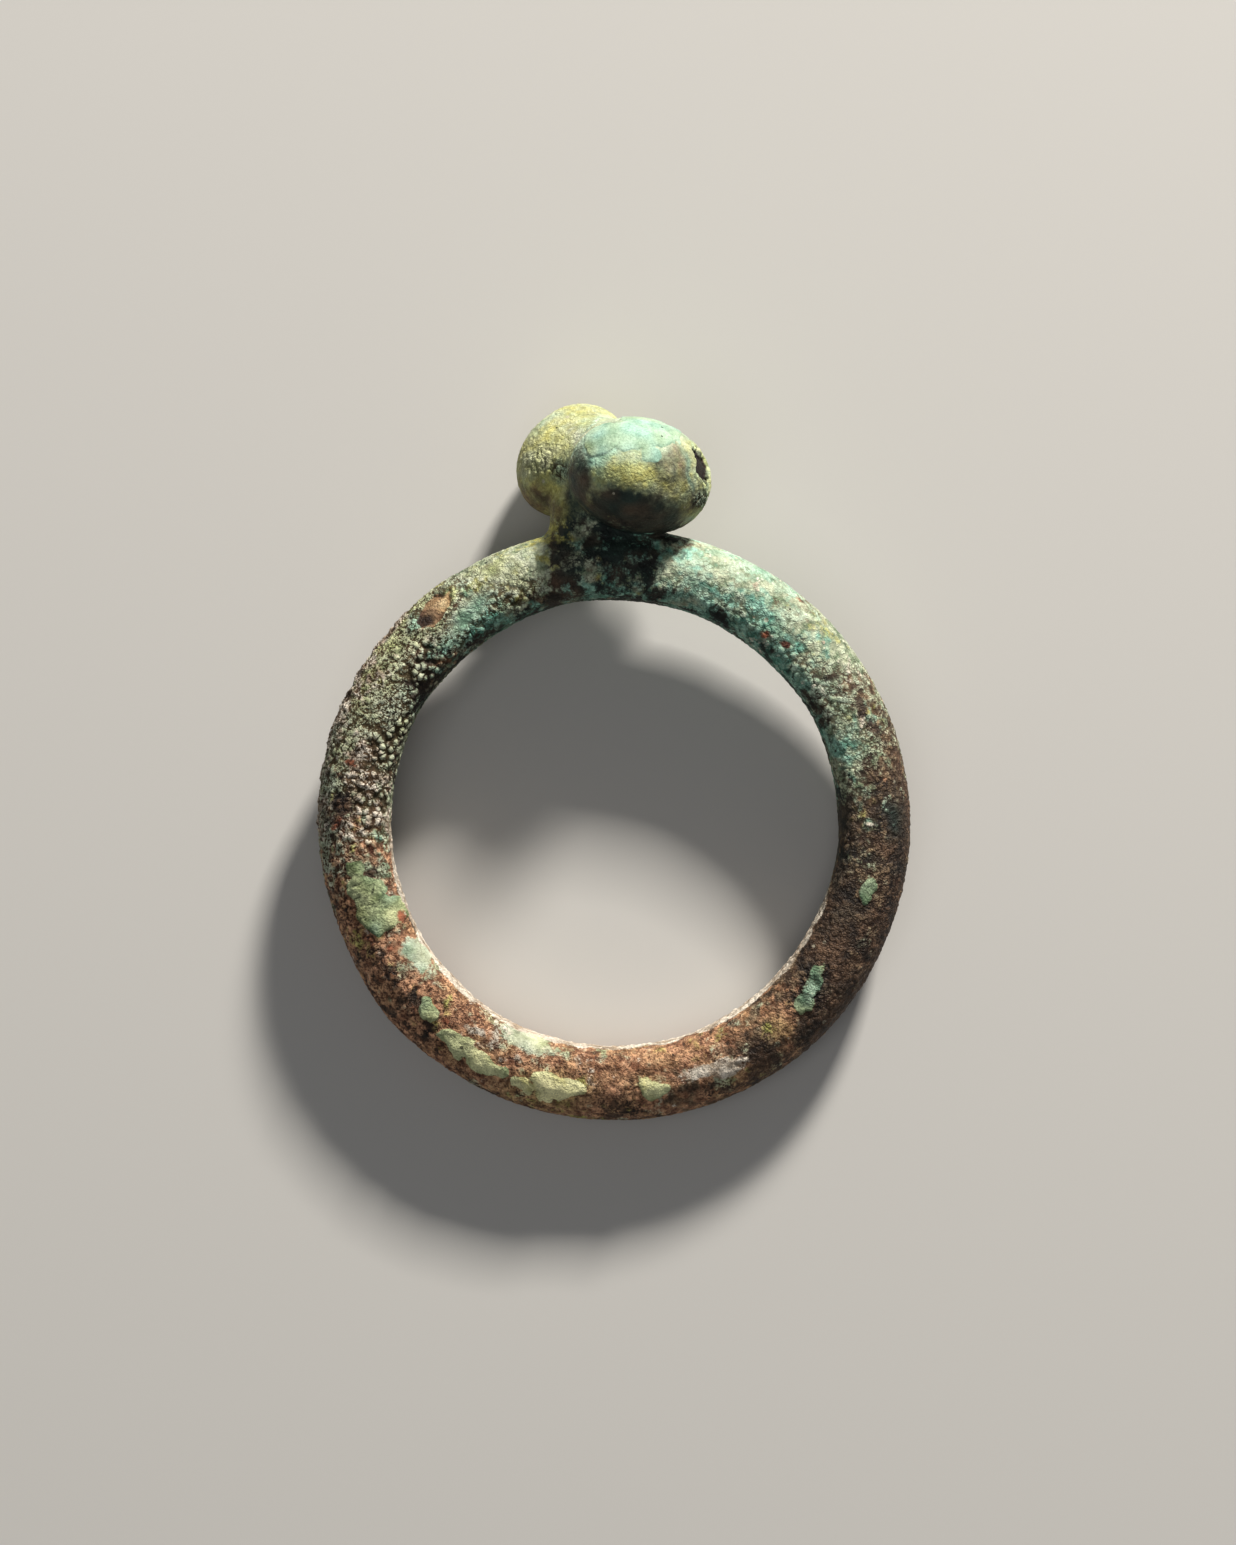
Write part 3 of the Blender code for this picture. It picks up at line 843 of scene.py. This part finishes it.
def mixture(points, push):
    """The share of each mineral at each point: the tables round the hoop, the bezel's own mixture above the
    rim, then the areas, each with a soft edge. The wall's edge is sharper, so it's pushed about less."""
    nudged = points + WALL_PUSH * push
    wall = np.hypot(nudged[:, 0], nudged[:, 1]) - BORE_RADIUS
    points = points + push
    angle = np.degrees(np.arctan2(points[:, 1], points[:, 0]))
    outward = np.hypot(points[:, 0], points[:, 1]) - BORE_RADIUS
    outer = ramp(outward, *HALVES_MEET)
    above = ramp(outward - HOOP_THICKNESS, *BEZEL_BEGINS)

    def round_hoop(table, number):
        return np.interp(angle, table[:, 0], table[:, number] / WHOLE, period=360)

    wall = 1 - ramp(wall / round_hoop(BORE_WALL, len(COLUMNS) + 1), *WALL_ENDS)
    shares = {"net": np.zeros(len(points))}
    for number, column in enumerate(COLUMNS, start=1):
        inner = round_hoop(INNER_HALF, number)
        shares[column] = inner + (round_hoop(OUTER_HALF, number) - inner) * outer
        shares[column] += (round_hoop(BORE_WALL, number) - shares[column]) * wall
        shares[column] += (BEZEL_MIX[column] / WHOLE - shares[column]) * above
    for column, value, *row in AREAS:
        shares[column] += (value / WHOLE - shares[column]) * ramp(inside(points, on_ring(*row)), *AREA_EDGE)
    shares["calm"] = above
    return shares


def patch(points, name):
    """How far inside the nearest patch of this name a point lies, from -1 to 1, in widths of its edge."""
    deep = np.full(len(points), -1.0)
    for row in PATCHES[name]:
        ellipse = on_ring(*row)
        deep = np.maximum(deep, inside(points, ellipse) * min(ellipse[2:4]) / PATCH_EDGE)
    return np.clip(deep, -1, 1)


# %% [markdown]
# ## The relief
#
# The crust stands on the metal in grains with dark gaps between them. A grain is a dome, highest over its
# own spot and lowest along its border, and large grains lie in clusters among small ones. The smooth patches
# half bury the grains, worms of lime creep over the wall of the finger hole, and the scars are places where a
# flake has come off and left a low lip round a hollow. The bezel is calmer than the hoop, with softer
# blotches.

# %% Heights and minerals for every point
# Heights in millimetres, those of the patches on the hoop and on the calm bezel.
COARSE_HEIGHT = 0.21
FINE_HEIGHT = 0.08
SWELL_HEIGHT = 0.08
PATCH_HEIGHT = (0.09, 0.045)
PATCH_LUMPS = (0.14, 0.014)
WORM_HEIGHT = 0.10
SCAR_DEPTH = 0.17
LIP_HEIGHT = 0.05
CRACK_DEPTH = 0.05
NET_DEPTH = 0.08
# Layers of soft noise: size in millimetres, seed and weight.
NOISES = {
    "push": ((0.9, 1, 0.50), (0.35, 4, 0.16)),
    "swell": ((2.6, 301, 0.6), (1.1, 302, 0.4)),
    "clusters": ((0.9, 303, 1.0),),
    "blotches": ((1.7, 400, 0.38), (0.55, 401, 0.32), (0.24, 402, 0.30)),
    "cool": ((0.7, 501, 0.9),),
    "lobes": ((0.5, 601, 0.7), (0.22, 602, 0.6)),
    "patch lumps": ((0.5, 603, 1.0),),
    "scar edge": ((0.17, 604, 0.7),),
}
# Winding lines: size in millimetres, seed, and how far from the noise's middle value they end.
WORMS = (0.45, 304, 0.16)
NET = (0.24, 305, 0.12)
LINE_CORE = 0.03
# How strongly blotches break up a share, how crisp their edges are, and how much pale dust a scar's lip
# carries, on the hoop and on the calm bezel.
BLOTCH_GAIN = (1.8, 0.9)
CRISPNESS = (1.8, 0.8)
DUSTY_LIP = (0.7, 0.0)
# How much of the push, and of the lobes, an outline takes.
PUSHED = {"ochre": 0.8, "scar": 0.6, "crack": 0.5, "net": 0.3}
LOBED = {"ochre": 0.9, "scar": 0.3}
# What a patch or a scar takes off the grains, and how dark the hollows are, from 0 to 1.
BURIES = 0.5
CRACK_SHADE, NET_SHADE, WORM_SHADE = 0.8, 0.9, 0.35
# Soft edges, in a field's own measure.
CLUSTER_EDGE = (-0.35, -0.05)
SOFT_EDGE = (-0.1, 0.3)
CRACK_EDGE = (-0.15, 0.10)
LIP_RISES = (-0.75, -0.25)
LIP_FALLS = (-0.25, 0.05)


def layered(points, name, more=0):
    """Soft noises of several sizes about a mean of 0, each times its weight, added up."""
    return sum(weight * (soft_noise(points, size, seed + more) - 0.5) for size, seed, weight in NOISES[name])


def winding_lines(points, size, seed, width):
    """1 on thin winding lines and 0 beside them: the places where a soft noise passes its middle value."""
    return 1 - ramp(np.abs(soft_noise(points, size, seed) - 0.5), LINE_CORE, width)


def eased(pair, calm):
    """The pair's first number on the hoop, its second on the bezel, and both blended where they meet."""
    return pair[0] + (pair[1] - pair[0]) * calm


def crust(points):
    """The height of the crust over the smooth form, in millimetres, and the finish's values at each point."""
    push = np.stack([layered(points, "push", k) for k in range(3)], axis=1)
    shares = mixture(points, push)
    calm = shares["calm"]
    grain = grains_at(points)
    lumps = np.clip(shares["coarse"] * ramp(layered(points, "clusters"), *CLUSTER_EDGE), 0, 1)

    # A mineral lies where its share is larger than the blotchy noise, so a share of a half covers half.
    fields = {}
    for number, name in enumerate(MIXED):
        patchy = 0.5 + eased(BLOTCH_GAIN, calm) * layered(points, "blotches", 10 * number)
        fields[name] = np.clip(eased(CRISPNESS, calm) * (shares[name] - np.clip(patchy, 0, 1)), -1, 1)
    lobes = layered(points, "lobes")
    for name in ("pale", "chalk", "dark"):
        fields[name] = np.maximum(fields[name], patch(points + push, name) + lobes)
    fields["mint"] = patch(points + push, "mint") + lobes
    fields["ochre"] = patch(points + PUSHED["ochre"] * push, "ochre") + LOBED["ochre"] * lobes
    fields["cool"] = np.clip(shares["cool"] + layered(points, "cool"), -1, 1)

    # Scars with a lip, cracks, smooth patches, worms of lime and a net of fine lines.
    hurt = patch(points + PUSHED["scar"] * push, "scar")
    hurt = hurt + LOBED["scar"] * lobes + layered(points, "scar edge")
    scar = ramp(hurt, *SOFT_EDGE)
    lip = ramp(hurt, *LIP_RISES) * (1 - ramp(hurt, *LIP_FALLS))
    crack = ramp(patch(points + PUSHED["crack"] * push, "crack"), *CRACK_EDGE)
    fields["pale"] = fields["pale"] + eased(DUSTY_LIP, calm) * lip
    buried = ramp(fields["mint"], *SOFT_EDGE)
    chalky = ramp(fields["chalk"], *SOFT_EDGE)
    worms = winding_lines(points + push, *WORMS)
    net = shares["net"] * winding_lines(points + PUSHED["net"] * push, *NET)

    relief = shares["relief"] * (1 - BURIES * buried) * (1 - BURIES * scar)
    height = relief * COARSE_HEIGHT * lumps * (grain["coarse"] - 0.5)
    height = height + relief * FINE_HEIGHT * (1 - lumps) * (grain["fine"] - 0.5)
    height = height + SWELL_HEIGHT * layered(points, "swell") + LIP_HEIGHT * lip
    height = height + eased(PATCH_HEIGHT, calm) * buried
    height = height + eased(PATCH_LUMPS, calm) * buried * layered(points, "patch lumps")
    height = height + WORM_HEIGHT * chalky * worms * shares["relief"]
    height = height - SCAR_DEPTH * scar - CRACK_DEPTH * crack - NET_DEPTH * net
    hollow = CRACK_SHADE * crack + NET_SHADE * net + WORM_SHADE * chalky * (1 - worms) * shares["relief"]
    fields.update(scar=2 * scar - 1, relief=relief, lumps=lumps, hollow=np.clip(hollow, 0, 1), calm=calm)
    return height, fields


# %% [markdown]
# ## The two pieces of skin
#
# The hoop is a grid, and the bezel with its neck is the wrapped skin. Each is pushed out along its own
# normals by the crust's height, turned to the way the ring lies, and kept from going below the surface that
# it lies on, which gives the two worn places.

# %% Build the hoop and the bezel
def outward_normals(points, faces):
    """The mean direction of the faces round each point, larger faces counting more."""
    corners = points[faces]
    across = np.cross(corners[:, 2] - corners[:, 0], corners[:, 3] - corners[:, 1])
    normals = np.stack([
        sum(np.bincount(faces[:, k], across[:, i], len(points)) for k in range(4)) for i in range(3)
    ], axis=1)
    return normals / np.linalg.norm(normals, axis=1, keepdims=True)


def encrusted(name, points, faces, shift):
    """A finished piece: the smooth points with their crust, in place, and its values as attributes."""
    height, fields = crust(points)
    skin = points + outward_normals(points, faces) * height[:, None]
    placed = skin @ REST_TURN.T + shift
    placed[:, 2] = np.maximum(placed[:, 2], ring_low[2])
    piece = object_from(name, placed * MM, faces.tolist())
    mesh = piece.data
    for field, values in fields.items():
        attribute = mesh.attributes.new(field, "FLOAT", "POINT")
        attribute.data.foreach_set("value", values.astype(np.float32))
    attribute = mesh.attributes.new("smooth_place", "FLOAT_VECTOR", "POINT")
    attribute.data.foreach_set("vector", points.astype(np.float32).ravel())
    mesh.validate()
    mesh.shade_smooth()
    print(f"{name}: {2 * len(faces)} triangles, crust from {height.min():.2f} to {height.max():.2f} mm")
    return piece


# The section runs round the other way than the bezel's rings do, so the hoop's faces are read backwards, and
# point outwards too.
hoop_points = smooth_hoop.reshape(-1, 3)
hoop_faces = grid_faces(HOOP_STATIONS, SECTION_POINTS, True)[:, ::-1]
shift = rest_place(np.concatenate([hoop_points, bezel_points]))
hoop = encrusted("hoop", hoop_points, hoop_faces, shift)
bezel = encrusted("bezel", bezel_points, bezel_faces, shift)

# %% [markdown]
# ## The finish
#
# Tin bronze that has lain in the ground is metal only underneath. Cuprite gives red and brown, malachite
# green, finer copper salts turquoise, tin and iron stains yellow-brown, and lime from the soil white. All of
# them are matt and none is metallic. The finish lays them over each other as the ring does, from the brown
# ground upwards. Each layer's edge comes from its attribute, roughened by noise finer than the mesh, so it
# stays crisp from close by.

# %% Colours and nodes
def linear(hex_colour):
    """A colour as it shows on a screen, turned into the linear light that a shader works with."""
    parts = [int(hex_colour[i:i + 2], 16) / 255 for i in (1, 3, 5)]
    return (*(v / 12.92 if v <= 0.04045 else ((v + 0.055) / 1.055) ** 2.4 for v in parts), 1)


# Attribute, half the width of its soft edge, width of its rough edge (both in the attribute's own measure),
# size of that roughness in millimetres, how much it keeps to the tops of grains (above 0) or to the gaps
# (below 0), light tint, deep tint and roughness, from the ground upwards. On the calm bezel edges are
# smoother, the tops matter less, and the deep tint never shows in full.
MINERALS = [
    ("rust", 0.25, 0.60, 0.16, -0.1, "#cf9d79", "#744930", 0.62),
    ("green", 0.35, 0.70, 0.20, 0.3, "#b7bea2", "#6c7c60", 0.85),
    ("yellow", 0.35, 0.70, 0.20, 0.2, "#bcb86c", "#7d7938", 0.80),
    ("turquoise", 0.40, 0.80, 0.24, -0.1, "#9ccab6", "#538a78", 0.85),
    ("pale", 0.35, 0.70, 0.16, 0.35, "#bfc4ac", "#949a80", 0.90),
    ("chalk", 0.25, 0.60, 0.16, 0.3, "#dbd1c1", "#9c8a76", 0.90),
    ("dark", 0.40, 0.80, 0.18, -0.4, "#684f3b", "#2e2015", 0.65),
    ("mint", 0.06, 0.40, 0.16, 0.0, "#a1ae83", "#607049", 0.75),
    ("scar", 0.40, 0.50, 0.12, 0.0, "#a88a68", "#5e3f2b", 0.70),
    ("ochre", 0.25, 0.70, 0.12, 0.0, "#93593f", "#5c3524", 0.80),
]
# The same two tints where "cool" is 1, as copper chlorides turn them bluer, and where it is -1, as iron turns
# them yellow. A scar's cool tints are nearly black: partly dark bronze and partly painted shadow thrown by
# its lip into the hollow. Its warm tints are bare warm bronze.
COOLER = {
    "pale": ("#a9c8b2", "#779a82"),
    "dark": ("#25362f", "#111b18"),
    "mint": ("#93b3a3", "#5c8473"),
    "scar": ("#2e1c10", "#160c07"),
}
WARMER = {
    "rust": ("#c9a574", "#795c3a"),
    "pale": ("#c9cd94", "#98a060"),
    "mint": ("#e8e3ae", "#bdb87c"),
    "scar": ("#d0b98f", "#a8875c"),
}
GROUND_LIGHT, GROUND_DEEP, GROUND_ROUGHNESS = "#8a745a", "#4c3a2b", 0.80
# Pale specks: partly loose sand and partly painted glints.
SAND_AND_GLINT_TINT, SAND_AND_GLINTS_COVER = "#b3ad98", 0.6
# A tint multiplied into the gaps between grains: partly earth and partly painted shade.
EARTH_AND_SHADE_TINT = "#d0ac88"
# Sizes in millimetres. The mottling of each layer is a little larger than that of the one below.
THREAD_SIZE = 0.20
UNEVEN_SIZE = 0.38
GROUND_SIZE = 0.45
MOTTLE_SIZE, MOTTLE_GROWS = 0.5, 0.07
BROKEN_SIZE = 0.14
GRIME_SIZE = 0.10
SCRATCH_SIZE = 0.13
SPOT_SPACING = 0.55
BUMP_DEPTH = 0.09
# Where a spot's lot, from 0 to 1, begins to count, where it counts in full, and how wide the spot is then.
SAND_AND_GLINT_SPOTS = (0.80, 1.0, 0.22)
PITS = (0.14, 0.0, 0.20)
# Curves: where each starts and ends, and its values there, which are 0 and 1 where none are given.
CURVES = {
    "thread": (0.0, 0.14, 1.0, 0.0),
    "threads on rust": (-0.3, 0.6, 0.22, 0.58),
    "stand": (0.16, 0.84),
    "ground": (0.36, 0.64),
    "busy": (0.0, 1.0, 1.0, 0.25),
    "mottle": (0.34, 0.62),
    "gap": (0.20, 0.85, 1.0, 0.22),
    # Painted shade and highlight: grain tops up to 1.2 times their colour, the deepest gaps down to 0.2.
    "grain shade and highlight": (0.05, 0.85, 1.20, 0.20),
    "earth and shade": (0.40, 0.85),
    "grime": (0.34, 0.60, 0.85, 1.12),
}
# Shares of one, and the bump's strength.
GRIT_ON_FINE, GRIT_ON_COARSE = 0.50, 0.22
UNEVEN = 0.7
STEADY = 0.35
SCRATCHES = 0.5
SHEEN = 0.35
BUMP_STRENGTH = 0.9


def corroded_bronze():
    """Cast tin bronze under a corrosion crust: matt, mottled, darker in every gap between its grains, partly
    from earth and partly as painted shade, and lighter on their tops as a painted highlight.
    """
    finish = bpy.data.materials.new("cast_tin_bronze_under_corrosion_crust")
    finish.use_nodes = True
    tree = finish.node_tree
    node, calc, step = (functools.partial(helper, tree) for helper in (add, maths, mapped))
    shader = tree.nodes["Principled BSDF"]
    place = node("ShaderNodeAttribute", {"attribute_name": "smooth_place"}, output="Vector")

    def attribute(name):
        return node("ShaderNodeAttribute", {"attribute_name": name}, output="Fac")

    def noise(size, detail=3.0):
        return node("ShaderNodeTexNoise", {}, {
            "Vector": place, "Scale": 1 / size, "Detail": detail, "Roughness": 0.6})

    def mix(share, first, second):
        return node("ShaderNodeMix", {"data_type": "FLOAT"}, {0: share, 2: first, 3: second})

    def cover(share, under, over, way="MIX"):
        kind = {"data_type": "RGBA", "blend_type": way}
        return node("ShaderNodeMix", kind, {0: share, 6: under, 7: over}, 2)

    # How high each place stands, from 0 to 1: grit on the larger grains, and between the small ones winding
    # threads, most of all where copper shows.
    grain = grain_nodes(tree, place)
    from_middle = calc("ABSOLUTE", calc("SUBTRACT", noise(THREAD_SIZE, 4.0), 0.5))
    threads = step(attribute("rust"), *CURVES["threads on rust"])
    gritty = mix(GRIT_ON_FINE, grain["fine"], grain["grit"])
    small = mix(threads, gritty, step(from_middle, *CURVES["thread"]))
    large = mix(GRIT_ON_COARSE, grain["coarse"], grain["grit"])
    stand = mix(attribute("lumps"), small, large)
    stand = calc("ADD", stand, calc("MULTIPLY_ADD", noise(UNEVEN_SIZE, 1.0), UNEVEN, -UNEVEN / 2))
    stand = step(stand, *CURVES["stand"])

    # The minerals, from the ground upwards.
    ground = step(noise(GROUND_SIZE), *CURVES["ground"])
    colour = cover(ground, linear(GROUND_DEEP), linear(GROUND_LIGHT))
    matt = GROUND_ROUGHNESS
    busy = step(attribute("calm"), *CURVES["busy"], "LINEAR")
    steady = calc("MULTIPLY", attribute("calm"), STEADY)
    above = calc("MULTIPLY", calc("SUBTRACT", stand, 0.5), busy)
    for number, (name, blur, edge, size, tops, light, deep, roughness) in enumerate(MINERALS):
        ragged = calc("MULTIPLY", calc("SUBTRACT", noise(size), 0.5), busy)
        ragged = calc("MULTIPLY_ADD", ragged, edge, attribute(name))
        ragged = calc("MULTIPLY_ADD", above, tops, ragged)
        covers = step(ragged, -blur, blur)
        mottle = step(noise(MOTTLE_SIZE + MOTTLE_GROWS * number, 4.0), *CURVES["mottle"], steady)
        layer = cover(mottle, linear(deep), linear(light))
        for others, full in ((COOLER, 1.0), (WARMER, -1.0)):
            if name in others:
                other_light, other_deep = others[name]
                other = cover(mottle, linear(other_deep), linear(other_light))
                layer = cover(step(attribute("cool"), 0.0, full, way="LINEAR"), layer, other)
        colour = cover(covers, colour, layer)
        matt = mix(covers, matt, roughness)

    # Pale specks and pits: one place in five holds a pale speck, partly loose sand and partly a painted
    # glint, one in seven a hole, and they differ in size.
    spot = node("ShaderNodeTexVoronoi", {}, {"Vector": place, "Scale": 1 / SPOT_SPACING})
    lot = node("ShaderNodeSeparateColor", {}, {0: spot.node.outputs["Color"]})
    sand_and_glints, pits = (
        calc("LESS_THAN", spot, step(lot, begins, full, 0.0, width, "LINEAR"))
        for begins, full, width in (SAND_AND_GLINT_SPOTS, PITS)
    )
    colour = cover(calc("MULTIPLY", sand_and_glints, SAND_AND_GLINTS_COVER), colour, linear(SAND_AND_GLINT_TINT))

    # Shade: the charted hollows and the pits, then the gaps round the grains, darkened partly by earth tint
    # and partly as painted shade, with grain tops lightened as a painted highlight, then grime.
    broken = calc("ADD", attribute("hollow"), calc("SUBTRACT", noise(BROKEN_SIZE), 0.5))
    gap = step(calc("ADD", pits, broken), *CURVES["gap"])
    low = calc("MULTIPLY", calc("SUBTRACT", 1.0, stand), attribute("relief"))
    grain_shade_and_highlight = step(low, *CURVES["grain shade and highlight"], "LINEAR")
    colour = cover(step(low, *CURVES["earth and shade"]), colour, linear(EARTH_AND_SHADE_TINT), "MULTIPLY")
    grime = step(noise(GRIME_SIZE, 2.0), *CURVES["grime"])
    shade = calc("MULTIPLY", calc("MULTIPLY", gap, grain_shade_and_highlight), grime)
    shaded = node("ShaderNodeVectorMath", {"operation": "SCALE"}, {0: colour, "Scale": shade})
    tree.links.new(shaded, shader.inputs["Base Color"])
    tree.links.new(matt, shader.inputs["Roughness"])
    shader.inputs["Specular IOR Level"].default_value = SHEEN

    # The grit that the mesh can't follow, as a bump.
    height = calc("MULTIPLY", stand, attribute("relief"))
    height = calc("MULTIPLY_ADD", noise(SCRATCH_SIZE, 4.0), SCRATCHES, height)
    bump = {"Strength": BUMP_STRENGTH, "Distance": BUMP_DEPTH * MM, "Height": height}
    rough = node("ShaderNodeBump", {}, bump)
    tree.links.new(rough, shader.inputs["Normal"])
    return finish


crusted = corroded_bronze()
for piece in (hoop, bezel):
    piece.data.materials.append(crusted)
    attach(piece, "root")
    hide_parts("amulet_ring")

# %% [markdown]
# ## The floor
#
# The ring lies on a pale plain floor, large enough that its edge never shows, matt and without a pattern, so
# that nothing on it competes with the crust.

# %% A pale floor
FLOOR_REACH = 1.5
corners = np.array([(-1, -1, 0), (1, -1, 0), (1, 1, 0), (-1, 1, 0)], float)
floor = object_from("floor", corners * FLOOR_REACH, [(0, 1, 2, 3)])
card = bpy.data.materials.new("matt_pale_card")
card.use_nodes = True
card_shader = card.node_tree.nodes["Principled BSDF"]
card_shader.inputs["Base Color"].default_value = linear("#c6c4c0")
card_shader.inputs["Roughness"].default_value = 0.9
floor.data.materials.append(card)

# %% [markdown]
# ## The light
#
# Grains show only in slanting light. One small warm white lamp shines low from beyond the bezel and to the
# right, as the real ring was lit, so that each grain throws its shadow. A wide soft lamp overhead and the
# room's even, slightly blue light fill the shadows.

# %% Lamps and the room's soft light
def lamp(name, towards, distance, size, power, colour="#ffffff"):
    """A square lamp that looks at the ring from a direction and a distance. Sizes are in metres, its power
    in watts."""
    light = bpy.data.lights.new(name, "AREA")
    light.size = size
    light.energy = power
    light.color = linear(colour)[:3]
    thing = bpy.data.objects.new(name, light)
    direction = Vector(towards).normalized()
    thing.location = direction * distance
    thing.rotation_euler = direction.to_track_quat("Z", "Y").to_euler()
    bpy.context.scene.collection.objects.link(thing)


lamp("key", (0.33, 0.85, 0.42), 0.5, 0.07, 4.8, "#fffaf2")
lamp("overhead", (-0.2, -0.3, 1.0), 0.7, 0.5, 0.85)
room = bpy.data.worlds.new("soft_room")
room.use_nodes = True
room_light = room.node_tree.nodes["Background"]
room_light.inputs["Color"].default_value = linear("#e4e8ee")
room_light.inputs["Strength"].default_value = 0.10
bpy.context.scene.world = room
bpy.context.scene.view_settings.view_transform = "Standard"

# %% [markdown]
# ## The camera
#
# The camera looks along the hoop's axis, a little above its middle, from thirty centimetres. Its picture's
# long side takes in 72.9 mm of the hoop's plane.

# %% The camera
SENSOR = 36.0
eye = np.array((*AIM, CAMERA_DISTANCE)) @ REST_TURN.T + shift
view = bpy.data.cameras.new("camera")
view.sensor_width = SENSOR
view.lens = SENSOR * CAMERA_DISTANCE / (PICTURE[1] * PIXEL)
view.clip_start = 0.01
camera = bpy.data.objects.new("camera", view)
camera.matrix_world = Matrix.Translation(Vector(eye * MM)) @ Matrix(REST_TURN.tolist()).to_4x4()
bpy.context.scene.collection.objects.link(camera)
bpy.context.scene.camera = camera
